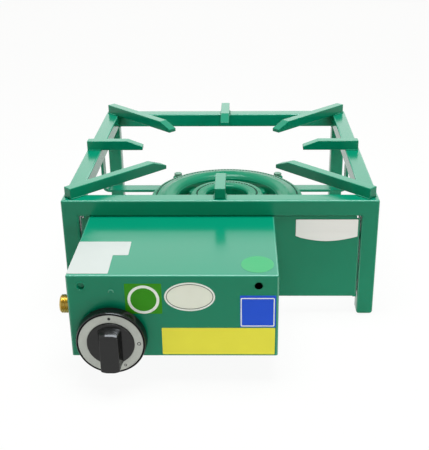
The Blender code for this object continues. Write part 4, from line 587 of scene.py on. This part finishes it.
# Name, the way the heads look, their size, and their places
screw_rows = [
    ("panel_screws", (0, 1, 0), 1.0, [(x, MID_Y - 0.1827, z) for x in BOX_SCREW_X for z in (0.0510, 0.1165)]),
    ("cover_screws", (0, 0, -1), 1.0,
     [(x, MID_Y + y, 0.0337) for x in BOX_SCREW_X for y in (-0.3225, -0.1968)]),
    ("tap_screws", (0, -1, 0), 0.9, [(x, BOX_FACE_Y, 0.0572) for x in (-0.1277, -0.0947)]),
    ("flange_screws", (0, -1, 0), 1.0, [(x, MID_Y - 0.1046, 0.0415) for x in (-0.0180, 0.0270)]),
    ("clamp_screws", (0, 0, 1), 1.0, [(-0.1112, MID_Y + y, 0.0687) for y in (-0.3060, -0.2764)]),
    ("bracket_screw", (0, 0, 1), 1.0, [(-0.0970, MID_Y - STRAP_REACH, 0.0654)])]
for row_name, direction, size, spots in screw_rows:
    heads = grown(row_name, lines_object([[spot] for spot in spots]), heads_tree, head=pan_head,
                  direction=direction, head_size=size, coat=zinc)
    placed(heads, "zinc_steel")
bpy.data.objects.remove(pan_head)


# Adhesive labels, left blank
# Printed vinyl labels on the box: a stepped white one and a light green disc on top, and on the front
# a green square with a white ring, a white oval, a blue square with a white frame and a yellow strip.
LABEL_THICK = 0.00012
LABEL_LIFT = 0.00003
LABEL_SINK = 0.9


def vinyl(name, colour, specular=0.2):
    """A printed film that clouds a little darker."""
    darker = tuple(part * 0.93 for part in colour)
    return coating(name, darker, colour, (0.30, 0.42), specular=specular, grain=300.0, depth=0.000012,
                   cloud=45.0)


pale_vinyl = vinyl("pale_vinyl", (0.52, 0.54, 0.50), 0.4)
white_vinyl = vinyl("white_vinyl", (0.98, 1.0, 0.97))
cream_vinyl = vinyl("cream_vinyl", (0.95, 0.95, 0.86))
grey_print = vinyl("grey_print", (0.085, 0.09, 0.08))
light_green_vinyl = vinyl("light_green_vinyl", (0.012, 0.345, 0.110), 0.35)
leaf_green_vinyl = vinyl("leaf_green_vinyl", (0.035, 0.31, 0.001))
blue_vinyl = vinyl("blue_vinyl", (0.014, 0.095, 0.80))
yellow_vinyl = vinyl("yellow_vinyl", (0.98, 0.89, 0.070))


def on_front(x, z, lift):
    """A point that lies lift in front of the box's face."""
    return (x, BOX_FACE_Y - lift, z)


def on_top(x, y, lift):
    """A point that lies lift above the box's top."""
    return (x, y, BOX_TOP_Z + lift)


def label(name, outline, coat, level=0, hole=None, surface=on_front):
    """A thin film cut to an outline; level sets which film lies over which."""
    low = level * LABEL_THICK * LABEL_SINK if level else LABEL_LIFT
    high = (level + 1) * LABEL_THICK
    if hole is None:
        shape = skin([[surface(*point, lift) for point in outline] for lift in (low, high)])
    else:
        shape = skin([[surface(*outer, low), surface(*outer, high), surface(*inner, high),
                       surface(*inner, low)] for outer, inner in zip(outline, hole)], loop=True)
    placed(finished(name, shape, coat), "dial_silver")


def ellipse(x, y, half_x, half_y, steps=56):
    """An ellipse about a point."""
    turns = [2 * pi * k / steps for k in range(steps)]
    return [(x + half_x * cos(turn), y + half_y * sin(turn)) for turn in turns]


def boxed(x, y, half_x, half_y, cut, steps=4):
    """A rounded rectangle about a point."""
    return [(x + a, y + b) for a, b in rectangle(half_x, half_y, cut, steps)]


STEP_LEFT, STEP_FRONT, STEP_REAR = -0.1551, -0.2415, -0.1644
RING = (-0.0763, 0.1020)
OVAL = (-0.0283, 0.1053)
FRAMED = (0.0422, 0.0870)
label("stepped_label", softened([(STEP_LEFT, STEP_FRONT), (-0.1123, STEP_FRONT), (-0.1131, -0.1985),
                                 (-0.0964, -0.1985), (-0.0971, STEP_REAR), (STEP_LEFT, STEP_REAR)],
                                0.0016, 3), pale_vinyl, surface=on_top)
label("round_label", ellipse(0.0422, -0.2203, 0.0173, 0.0192), light_green_vinyl, surface=on_top)
label("square_label", boxed(-0.0764, 0.1030, 0.0192, 0.0178, 0.0010, 2), leaf_green_vinyl)
label("square_label_ring", ellipse(*RING, 0.0166, 0.0166), white_vinyl, 1,
      ellipse(*RING, 0.0136, 0.0136))
label("oval_label", ellipse(*OVAL, 0.0264, 0.0167, 72), cream_vinyl)
label("oval_label_rim", ellipse(*OVAL, 0.0264, 0.0167, 72), white_vinyl, 1,
      ellipse(*OVAL, 0.0247, 0.0150, 72))
label("oval_label_line", ellipse(*OVAL, 0.0245, 0.0148, 72), grey_print, 1,
      ellipse(*OVAL, 0.0238, 0.0141, 72))
label("blue_label", boxed(0.0426, 0.0879, 0.0187, 0.0189, 0.0004, 1), blue_vinyl)
label("blue_label_frame", boxed(*FRAMED, 0.0177, 0.0170, 0.0016), white_vinyl, 1,
      boxed(*FRAMED, 0.0166, 0.0159, 0.0008))
label("yellow_label", boxed(0.0010, 0.0518, 0.0597, 0.0163, 0.0009, 2), yellow_vinyl)


# Burner casting
# One grey iron casting: an outer and an inner gas channel, four feed arms, a riser, a socket with an
# oval flange and four lugs. Sand-cast, left with its skin and sprayed green.
BURNER_X = 0.0045
FEED_Z = 0.0415
# Radii of a channel's outer and inner side, and heights of its lips and its underside
OUTER_CHANNEL = (0.1064, 0.070, 0.0835, 0.0675)
INNER_CHANNEL = (0.0506, 0.0290, 0.0860, 0.0655)
ARM_Z, ARM_SPAN = 0.066, (0.045, 0.075)
LUG_X, LUG_RADIUS, LUG_LOW, LUG_TOP = 0.07489, 0.0078, 0.0638, 0.0822
WEB_Z, WEB_SPAN = 0.0735, (0.100, 0.1125)
RISER_Y = -0.0385
FLANGE_REAR, FLANGE_FACE = 0.092, 0.098
SOCKET_BORE = 0.0131
HUB_RADIUS = 0.0305
VOXEL = 0.0014
TURNED_SKIN = 0.0001
cast_coat = coating("painted_casting", (0.0, 0.190, 0.088), (0.0, 0.250, 0.125), (0.18, 0.28),
                    specular=0.27, grain=420.0, depth=0.00022, detail=3.0, cloud=22.0)
# A darker, dull copy of the casting's paint: painted shade inside the hub hole.
hub_shade_coat = coating("matt_casting_wall", (0.0, 0.180, 0.080), (0.0, 0.230, 0.110), (0.5, 0.6),
                    specular=0.04, grain=420.0, depth=0.00022, detail=3.0, cloud=22.0)
burner_place = Matrix.Translation((BURNER_X, MID_Y, 0))


def bowl(rim, hole, lip, floor, grow=0.0):
    """The section of one gas channel, with a rounded bottom and lips."""
    lips, slant, wall, bottom = 0.0042, 0.0018, 0.0064, 0.0045
    outline = [(rim + grow, lip), (rim + grow, lip - lips), (rim - slant + grow, floor - grow),
               (hole + slant - grow, floor - grow), (hole - grow, lip - lips), (hole - grow, lip),
               (hole + lips, lip), (hole + wall, floor + bottom), (rim - wall, floor + bottom),
               (rim - lips, lip)]
    cuts = [0.0008, 0.0008, 0.004, 0.004, 0.0008, 0.0008, 0.0006, 0.001, 0.001, 0.0006]
    return softened(outline, cuts, 3)


def ringed_plate(shape, outline, hole, places):
    """A flat plate with one round hole; both outlines have as many points."""
    order, inside = (sorted(points, key=lambda p: atan2(p[1], p[0])) for points in (outline, hole))
    low, high = places
    rows = [[low @ Vector((*a, 0)), high @ Vector((*a, 0)), high @ Vector((*b, 0)), low @ Vector((*b, 0))]
            for a, b in zip(order, inside)]
    skin(rows, loop=True, shape=shape)


shape = turned(bowl(*OUTER_CHANNEL), 96, burner_place)
turned(bowl(*INNER_CHANNEL), 64, burner_place, shape)
for index in range(4):
    turn = burner_place @ Matrix.Rotation(radians(45 + 90 * index), 4, "Z")
    skin([[turn @ Vector((out, x, ARM_Z + z)) for x, z in rectangle(0.009, 0.0075, 0.0040)]
          for out in ARM_SPAN], shape=shape)
for x in (-LUG_X, LUG_X):
    for y in (-STRAP_REACH, STRAP_REACH):
        turned([(0, LUG_LOW), (LUG_RADIUS, LUG_LOW), (LUG_RADIUS, LUG_TOP), (0, LUG_TOP)], 32,
               burner_place @ Matrix.Translation((x, y, 0)), shape)
        web = burner_place @ Matrix.Rotation(atan2(y, x), 4, "Z")
        skin([[web @ Vector((out, a, WEB_Z + b)) for a, b in rectangle(0.0060, 0.0070, 0.002)]
              for out in WEB_SPAN], shape=shape)
riser = sized((0, 675), (165, 675), (165, 370), (138, 290), (85, 254), (0, 248))
turned(riser, 48, burner_place @ Matrix.Translation((0, RISER_Y, 0)), shape)
feed_place = Matrix.Translation((BURNER_X, MID_Y, FEED_Z)) @ TO_FRONT
socket = [(0.0130, 0.0565), (0.0130, FLANGE_FACE), (0.0170, FLANGE_FACE), (0.0170, 0.040), (0, 0.040),
          (0, 0.0565)]
turned(socket, 48, feed_place, shape)
flange_outline = rectangle(0.029, 0.0175, 0.0150, 8)
hole_outline = ellipse(0, 0, SOCKET_BORE, SOCKET_BORE, len(flange_outline))
ringed_plate(shape, flange_outline, hole_outline,
             [feed_place @ Matrix.Translation((0, 0, out)) for out in (FLANGE_REAR, FLANGE_FACE)])
rough_casting = finished("rough_casting", shape, cast_coat)
rough_casting.modifiers.clear()
fillets = rough_casting.modifiers.new("fillets", "REMESH")
fillets.mode = "VOXEL"
fillets.voxel_size = VOXEL
fillets.use_smooth_shade = True
soft = rough_casting.modifiers.new("soft", "SMOOTH")
soft.factor, soft.iterations = 0.5, 4
shape = bmesh.new()
shape.from_mesh(plain_mesh(rough_casting))
bpy.data.objects.remove(rough_casting)
turned(bowl(*OUTER_CHANNEL, TURNED_SKIN), 144, burner_place, shape)
turned(bowl(*INNER_CHANNEL, TURNED_SKIN), 96, burner_place, shape)
casting = finished("burner_casting", shape, cast_coat, sharp=60.0)
# The faces inside the hub hole take it, as painted shade.
casting.data.materials.append(hub_shade_coat)
for polygon in casting.data.polygons:
    radius = hypot(polygon.center.x - BURNER_X, polygon.center.y - MID_Y)
    polygon.material_index = 1 if radius < HUB_RADIUS else 0
placed(casting, "painted_casting", "burner_body")


# Drilled crown rings
# Two turned iron rings that close the gas channels. Each has one row of round ports right at its rim,
# drilled nearly upright and leaning a little outwards, so that the flames spread under the wok.
PORT_RADIUS = 0.0017
PORT_DEPTH = 0.014
PORT_LEAN = 5.0


def port_tree():
    """Drill a row of round ports round the Z axis at Centre; Lean is their rise for one unit outwards."""
    tree, entry, leave = maker_tree(
        "drilled_ports", ("Port Count", "Int", 132), ("Port Radius", "Float", PORT_RADIUS),
        ("Circle Radius", "Float", 0.098), ("Depth", "Float", PORT_DEPTH), ("Lean", "Float", PORT_LEAN),
        ("Centre", "Vector"), ("Bore Coat", "Material"))
    circle = added(tree, "MeshCircle", {"Vertices": entry["Port Count"], "Radius": entry["Circle Radius"]})
    drill = added(tree, "MeshCylinder",
                  {"Vertices": 12, "Radius": entry["Port Radius"], "Depth": entry["Depth"]})
    place = added(tree, "InputPosition")
    outward = added(tree, "ShaderNodeVectorMath", {0: place}, operation="NORMALIZE")
    lean = added(tree, "ShaderNodeCombineXYZ", {"Z": entry["Lean"]})
    lifted = added(tree, "ShaderNodeVectorMath", {0: outward, 1: lean}, operation="ADD")
    turn = added(tree, "FunctionNodeAlignRotationToVector", {"Vector": lifted}, axis="Z")
    lay = added(tree, "InstanceOnPoints", {"Points": circle, "Instance": drill, "Rotation": turn})
    real = added(tree, "RealizeInstances", {"Geometry": lay})
    shift = added(tree, "Transform", {"Geometry": real, "Translation": entry["Centre"]})
    darkened = added(tree, "SetMaterial", {"Geometry": shift, "Material": entry["Bore Coat"]})
    cut = added(tree, "MeshBoolean", {"Mesh 1": entry["Geometry"], "Mesh 2": darkened},
                operation="DIFFERENCE")
    bores = added(tree, "MaterialSelection", {"Material": entry["Bore Coat"]})
    others = added(tree, "FunctionNodeBooleanMath", {0: bores}, operation="NOT")
    return coated_end(tree, cut, entry, leave, only=others)


ports_tree = port_tree()
# The bores are painted near black and dull, as painted shadow inside the deep ports.
port_shadow_coat = coating("darkened_iron_bore", (0.001, 0.004, 0.003), (0.003, 0.008, 0.006), (0.70, 0.85),
                    specular=0.02, cloud=200.0)


def crown(name, node, profile, steps, count, circle, height):
    """Turn one crown ring from its profile and drill its row of ports."""
    blank = finished("blank", turned(profile, steps, burner_place), cast_coat)
    blank.modifiers.clear()
    made = grown(name, blank, ports_tree, port_count=count, port_radius=PORT_RADIUS, circle_radius=circle,
                 depth=PORT_DEPTH, lean=PORT_LEAN, centre=(BURNER_X, MID_Y, height), coat=cast_coat,
                 bore_coat=port_shadow_coat)
    made.data.shade_smooth()
    made.data.set_sharp_from_angle(angle=radians(CREASE))
    made.modifiers.new("even_faces", "WEIGHTED_NORMAL").keep_sharp = True
    placed(made, "painted_casting", node)


outer_profile = sized((1032, 838), (1032, 854), (1029, 860), (1023, 863), (960, 868), (932, 874), (905, 884),
                      (880, 894), (860, 900), (835, 903), (805, 901), (775, 894), (755, 886), (740, 877),
                      (726, 866), (715, 853), (707, 838), (702, 822), (699, 806), (699, 796), (712, 796),
                      (740, 838), (757, 858), (890, 856), (997, 838))
crown("outer_port_ring", "outer_crown", outer_profile, steps=264, count=132, circle=0.0990, height=0.0864)
inner_profile = sized((493, 863), (493, 874), (490, 879), (484, 882), (440, 884), (400, 887), (365, 888),
                      (340, 886), (322, 883), (310, 878), (301, 871), (295, 863), (290, 852), (288, 840),
                      (288, 825), (296, 825), (318, 863), (355, 871), (456, 863))
crown("inner_port_ring", "inner_crown", inner_profile, steps=120, count=60, circle=0.0422, height=0.0886)


# Burner bolts
# Four zinc-plated hexagon bolts with nuts hold the casting's lugs down on the cross straps. The heads
# took paint when the burner was sprayed in place.
sprayed_zinc = coating("sprayed_zinc", (0.05, 0.26, 0.15), (0.22, 0.36, 0.27), (0.26, 0.40), metallic=0.25,
                       depth=0.00003, cloud=160.0)
for corner in ("front_left", "front_right", "rear_left", "rear_right"):
    refined(f"burner_bolt_{corner}", f"lug_bolt_{corner}", sprayed_zinc, "zinc_steel")
    refined(f"burner_nut_{corner}", f"lug_nut_{corner}", zinc, "zinc_steel", 0.0003)


# Mixing tube, air shutter and injector
# The venturi is an iron casting bolted to the burner's flange. A slotted steel sleeve turns on its mouth
# to set the air, and a brass injector screwed into its end wall shoots the gas along its axis.
brass = coating("turned_brass", (0.48, 0.34, 0.085), (0.70, 0.52, 0.170), (0.25, 0.36), metallic=1.0,
                grain=1200.0, depth=0.000012, cloud=90.0, specks=(700.0, 0.06),
                speck_colour=(0.25, 0.14, 0.04))
copper = coating("drawn_copper", (0.62, 0.27, 0.16), (0.80, 0.40, 0.26), (0.24, 0.40), metallic=1.0,
                 depth=0.00001, cloud=60.0)
refined("mixing_tube", "venturi", cast_coat, "painted_casting", 0.0005)
refined("air_shutter", "slotted_sleeve", zinc, "zinc_steel", 0.0002, "air_shutter")
refined("shutter_screw", "sleeve_screw", zinc, "zinc_steel", 0.0002, "air_shutter")
refined("injector", "gas_injector", brass, "brass", 0.0003)
refined("injector_nut", "injector_union_nut", brass, "brass")
refined("supply_pipe", "bent_supply_pipe", copper, "copper", 0.0002)
refined("outlet_nut", "outlet_union_nut", brass, "brass")


# Gas tap and manifold
# A forged brass plug tap behind the box's face, clamped on a short manifold pipe. Its plated bonnet
# carries the steel stem and the return spring that lets the knob be pushed in.
refined("tap_body", "tap_forging", brass, "brass", 0.0005)
refined("tap_bonnet", "tap_cover", zinc, "zinc_steel")
refined("tap_plug", "taper_plug", brass, "brass", 0.0002, "tap_plug")
refined("tap_stem", "turning_stem", zinc, "zinc_steel", 0.0002, "knob")
spring = refined("stem_spring", "return_spring", zinc, "zinc_steel", 0.0, "tap_plug")
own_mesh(spring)
refined("inlet_locknut", "inlet_lock_nut", brass, "brass", 0.0005)
refined("manifold_pipe", "manifold", copper, "copper", 0.0003)
refined("manifold_clamp", "manifold_saddle", zinc, "zinc_steel")
refined("magnet_unit", "safety_magnet", brass, "brass")


# Flame sensor
# A thermocouple beside the outer port ring, held by a small bent bracket on the front strap. Its thin
# copper lead runs through the panel to the tap's safety magnet.
sensor_steel = coating("heat_tinted_steel", (0.30, 0.28, 0.26), (0.50, 0.47, 0.43), (0.26, 0.40),
                       metallic=1.0, grain=1000.0, depth=0.00001, cloud=140.0)
refined("thermocouple", "sensor_probe", sensor_steel, "zinc_steel", 0.0003)
refined("thermocouple_lead", "sensor_lead", copper, "copper", 0.0)
refined("probe_bracket", "sensor_bracket", zinc, "zinc_steel", 0.0003)


# Gas inlet
# A turned brass nipple with a half-inch pipe thread comes through the box's left side, locked by a
# hexagon nut inside. The hose or pipe is screwed on here.
INLET_Y = MID_Y - 0.2912
INLET_Z = 0.0744
WALL_X = -0.1560
shape = copied("inlet_nipple")
bmesh.ops.bisect_plane(shape, geom=shape.verts[:] + shape.edges[:] + shape.faces[:],
                       plane_co=(WALL_X, 0, 0), plane_no=(1, 0, 0), clear_inner=True)
bmesh.ops.bridge_loops(shape, edges=[edge for edge in shape.edges if edge.is_boundary])
refined("inlet_nipple", "inlet_shoulder", brass, "brass", shape=shape)
THREAD_START = -0.1725
THREAD_RADIUS = 0.0104775
THREAD_PITCH = 0.001814
THREAD_DEPTH = 0.0011
CHAMFER_RADIUS = 0.0088
SHOULDER_RADIUS = 0.0093
BORE_RADIUS = 0.0075
THREAD_END = WALL_X - 0.0001
TURN_STEPS = 72
PITCH_STEPS = 8
rows = []
samples = int((WALL_X - THREAD_START) / THREAD_PITCH * PITCH_STEPS)
for step in range(TURN_STEPS):
    turn = 2 * pi * step / TURN_STEPS
    row = []
    for k in range(samples + 1):
        depth = THREAD_DEPTH * abs(2 * ((k / PITCH_STEPS - step / TURN_STEPS) % 1) - 1)
        along = THREAD_START + THREAD_PITCH * k / PITCH_STEPS
        row.append((along, min(THREAD_RADIUS - depth, CHAMFER_RADIUS + along - THREAD_START)))
    row += [(THREAD_END, SHOULDER_RADIUS), (THREAD_END, BORE_RADIUS), (THREAD_START, BORE_RADIUS)]
    rows.append([(along, INLET_Y + radius * cos(turn), INLET_Z + radius * sin(turn))
                 for along, radius in row])
placed(finished("inlet_thread", skin(rows, loop=True), brass, sharp=70.0), "brass")


# Knob
# A black phenolic knob: a skirt with a finely ribbed edge, a disc and a tapered grip, moulded in one.
# A satin silver ring with a dot and two ring marks is let into its front.
KNOB_X = -0.1112
KNOB_Z = 0.0572
knob_place = Matrix.Translation((KNOB_X, BOX_FACE_Y, KNOB_Z)) @ TO_FRONT
LIP = (0.0341, 0.0357)
GRIP_BULGE = 0.0016
GRIP_SHOULDER = 0.45
black = coating("black_phenolic", (0.0026, 0.0028, 0.0026), (0.0048, 0.0052, 0.0048), (0.15, 0.21),
                specular=0.42, grain=1500.0, depth=0.00001, cloud=60.0, specks=(2600.0, 0.10),
                speck_colour=(0.010, 0.010, 0.010))
# A darker, dull copy of the knob's black: painted shade on the lip's front face.
lip_shade_black = coating("matt_black_lip", (0.0010, 0.0010, 0.0010), (0.0020, 0.0020, 0.0020), (0.45, 0.55),
                     specular=0.08, grain=1500.0, depth=0.00001, cloud=60.0)
skirt = sized((375, 36), (373.5, 46), (364, 126), (362, 133), (358, 139), (353, 143), (347, 144), (343, 142),
              (341, 129), (248, 129), (246, 132), (246, 150), (243, 155), (237, 157), (0, 157), (0, 140),
              (225, 140), (232, 118), (338, 116), (350, 36))
shape = turned(skirt, 120, knob_place)
turned(sized((44, 62), (80, 62), (80, 142), (44, 142)), 48, knob_place, shape)
# Distance from the box, half width at the head and the tail, ends of the head and the tail, corner
grip_levels = sized((150, 127, 127, 198, -240, 50), (158, 123, 124, 195, -242, 48),
                    (168, 118, 120, 191, -245, 45), (184, 112, 114, 186, -250, 42),
                    (210, 105, 108, 178, -260, 38), (238, 100, 104, 170, -270, 36),
                    (254, 98, 102, 163, -276, 34), (265, 97, 101, 155, -279, 33),
                    (272, 95, 99, 146, -278, 32), (277, 89, 93, 134, -271, 28))
rings = []
for out, top_half, tail_half, top, tail, cut in grip_levels:
    low, high = tail + GRIP_BULGE, top - GRIP_BULGE
    tail_flat, top_flat = tail_half * GRIP_SHOULDER, top_half * GRIP_SHOULDER
    outline = softened([(-tail_half, low), (-tail_flat, tail), (tail_flat, tail), (tail_half, low),
                        (top_half, high), (top_flat, top), (-top_flat, top), (-top_half, high)],
                       [cut * share for share in (0.5, 0.6, 0.6, 0.5, 0.4, 0.5, 0.5, 0.4)], 5)
    rings.append([knob_place @ Vector((a, b, out)) for a, b in outline])
skin(rings, shape=shape)
knob = finished("black_knob", shape, black, sharp=42.0)
# The lip's front face takes it, as painted shade.
knob.data.materials.append(lip_shade_black)
for polygon in knob.data.polygons:
    radius = hypot(polygon.center.x - KNOB_X, polygon.center.z - KNOB_Z)
    if LIP[0] < radius < LIP[1] and polygon.normal.y < 0:
        polygon.material_index = 1
placed(knob, "black_plastic", "knob", body="knob")


RIB_COUNT = 132
RIB_RADIUS = 0.00042
RIB_LENGTH = 0.0030
RIB_CIRCLE = 0.03625
RIB_MIDDLE = 0.0108


def rib_tree():
    """Fine moulded ribs standing on a circle round the knob's skirt."""
    tree, entry, leave = maker_tree(
        "skirt_ribs", ("Rib Count", "Int", RIB_COUNT), ("Rib Radius", "Float", RIB_RADIUS),
        ("Rib Length", "Float", RIB_LENGTH), ("Skirt Radius", "Float", RIB_CIRCLE))
    circle = added(tree, "MeshCircle", {"Vertices": entry["Rib Count"], "Radius": entry["Skirt Radius"]})
    rib = added(tree, "MeshCylinder",
                {"Vertices": 6, "Radius": entry["Rib Radius"], "Depth": entry["Rib Length"]})
    lay = added(tree, "InstanceOnPoints", {"Points": circle, "Instance": rib})
    return coated_end(tree, lay, entry, leave)


ribs = grown("skirt_ribs", lines_object([[(0, 0, 0)]]), rib_tree(), rib_count=RIB_COUNT,
             rib_radius=RIB_RADIUS, rib_length=RIB_LENGTH, skirt_radius=RIB_CIRCLE, coat=black)
ribs.data.transform(knob_place @ Matrix.Translation((0, 0, RIB_MIDDLE)))
ribs.data.shade_smooth()
placed(ribs, "black_plastic", body="knob")

satin = coating("satin_silver_print", (0.40, 0.415, 0.38), (0.52, 0.54, 0.50), (0.38, 0.50), metallic=0.55,
                grain=1800.0, cloud=70.0, specks=(2200.0, 0.2),
                speck_colour=(0.60, 0.60, 0.60))
shape = turned(sized((250, 130), (250, 137), (251, 138), (339, 138), (340, 137), (340, 130)), 120, knob_place)
placed(finished("silver_ring", shape, satin), "dial_silver", "dial_ring", body="knob")
MARK_CIRCLE = 0.0297
MARK_FOOT, MARK_THICK = 0.01378, 0.00007
# Degrees clockwise from the top, radius, and radius of the hole in a ring mark
dial_marks = ((0, 0.0016, 0.0), (90, 0.0021, 0.0013), (152, 0.0015, 0.0009))
marks = bmesh.new()
for clockwise, radius, bore in dial_marks:
    turn = radians(90 - clockwise)
    spot = knob_place @ Matrix.Translation((MARK_CIRCLE * cos(turn), MARK_CIRCLE * sin(turn), MARK_FOOT))
    turned([(bore, 0), (radius, 0), (radius, MARK_THICK), (bore, MARK_THICK)], 28, spot, marks)
placed(finished("dial_marks", marks, black), "black_plastic", body="knob")


# Studio
# A seamless white studio: pale floor, soft lamps overhead, behind and at the right, and an even pale
# surround. The camera stands in front of the burner, a little to the right, and looks down on it.
def studio_white(tree, lit, plain, share=1.0):
    """Mix a lit shader with plain white, by share, for what the camera, gloss and glass see."""
    path = added(tree, "LightPath").outputs
    seen = added(tree, "Math", {0: path["Is Camera Ray"], 1: path["Is Glossy Ray"]}, operation="MAXIMUM")
    seen = added(tree, "Math", {0: seen, 1: path["Is Transmission Ray"]}, operation="MAXIMUM")
    seen = added(tree, "Math", {0: seen, 1: share}, operation="MULTIPLY")
    return added(tree, "MixShader", {0: seen, 1: lit, 2: plain})


world = bpy.data.worlds.new("studio")
world.use_nodes = True
tree = world.node_tree
tree.nodes.clear()
surround = added(tree, "Background", {"Color": (1.0, 1.0, 0.90, 1), "Strength": 0.24})
backdrop = added(tree, "Background", {"Color": (1, 1, 1, 1), "Strength": 1.0})
added(tree, "OutputWorld", {"Surface": studio_white(tree, surround, backdrop)})
bpy.context.scene.world = world

floor_coat = bpy.data.materials.new("studio_floor")
floor_coat.use_nodes = True
tree = floor_coat.node_tree
shader = tree.nodes["Principled BSDF"]
for title, value in (("Base Color", (0.86, 0.85, 0.76, 1)), ("Roughness", 0.9), ("Specular IOR Level", 0.1)):
    shader.inputs[title].default_value = value
glow = added(tree, "Emission", {"Strength": 1.0})
floor_white = studio_white(tree, shader, glow, share=0.93)
tree.links.new(floor_white.outputs[0], tree.nodes["Material Output"].inputs["Surface"])
shape = bmesh.new()
bmesh.ops.create_grid(shape, x_segments=2, y_segments=2, size=12.0)
floor = finished("floor", shape, floor_coat)
floor.modifiers.clear()


LAMP_AIM = Vector((0, 0, 0.1))


def soft_lamp(name, place, size, power, colour):
    """A rectangle of soft light that looks at the burner."""
    lamp = bpy.data.lights.new(name, "AREA")
    lamp.color = colour
    lamp.shape = "RECTANGLE"
    lamp.size, lamp.size_y = size
    lamp.energy = power
    made = shown(name, lamp)
    made.location = place
    made.rotation_euler = (LAMP_AIM - Vector(place)).to_track_quat("-Z", "Y").to_euler()


soft_lamp("overhead_lamp", (0.0, -0.15, 1.5), (0.95, 0.75), 26.8, (0.87, 0.94, 1.0))
soft_lamp("rear_lamp", (0.0, 2.3, 1.05), (2.8, 1.2), 11.5, (1.0, 1.0, 1.0))
soft_lamp("right_lamp", (1.3, -1.3, 0.75), (0.5, 0.5), 5.5, (1.0, 1.0, 0.95))

camera = bpy.data.cameras.new("camera")
camera.lens = 65.71
camera.sensor_width = 36
camera.shift_x = -0.04098
camera.clip_end = 50
eye = shown("camera", camera)
bpy.context.scene.camera = eye
EYE = (0.02635, -0.9907, 0.51905)
pitch, yaw, roll = radians(24.05), 0.0126, -0.006
heading = Matrix.Rotation(yaw, 3, "Z")
ahead = heading @ Vector((0, cos(pitch), -sin(pitch)))
level = heading @ Vector((1, 0, 0))
upward = heading @ Vector((0, sin(pitch), cos(pitch)))
right = level * cos(roll) + upward * sin(roll)
above = upward * cos(roll) - level * sin(roll)
view = Matrix((right, above, -ahead)).transposed().to_4x4()
view.translation = EYE
eye.matrix_world = view

bpy.context.scene.view_settings.view_transform = "Standard"
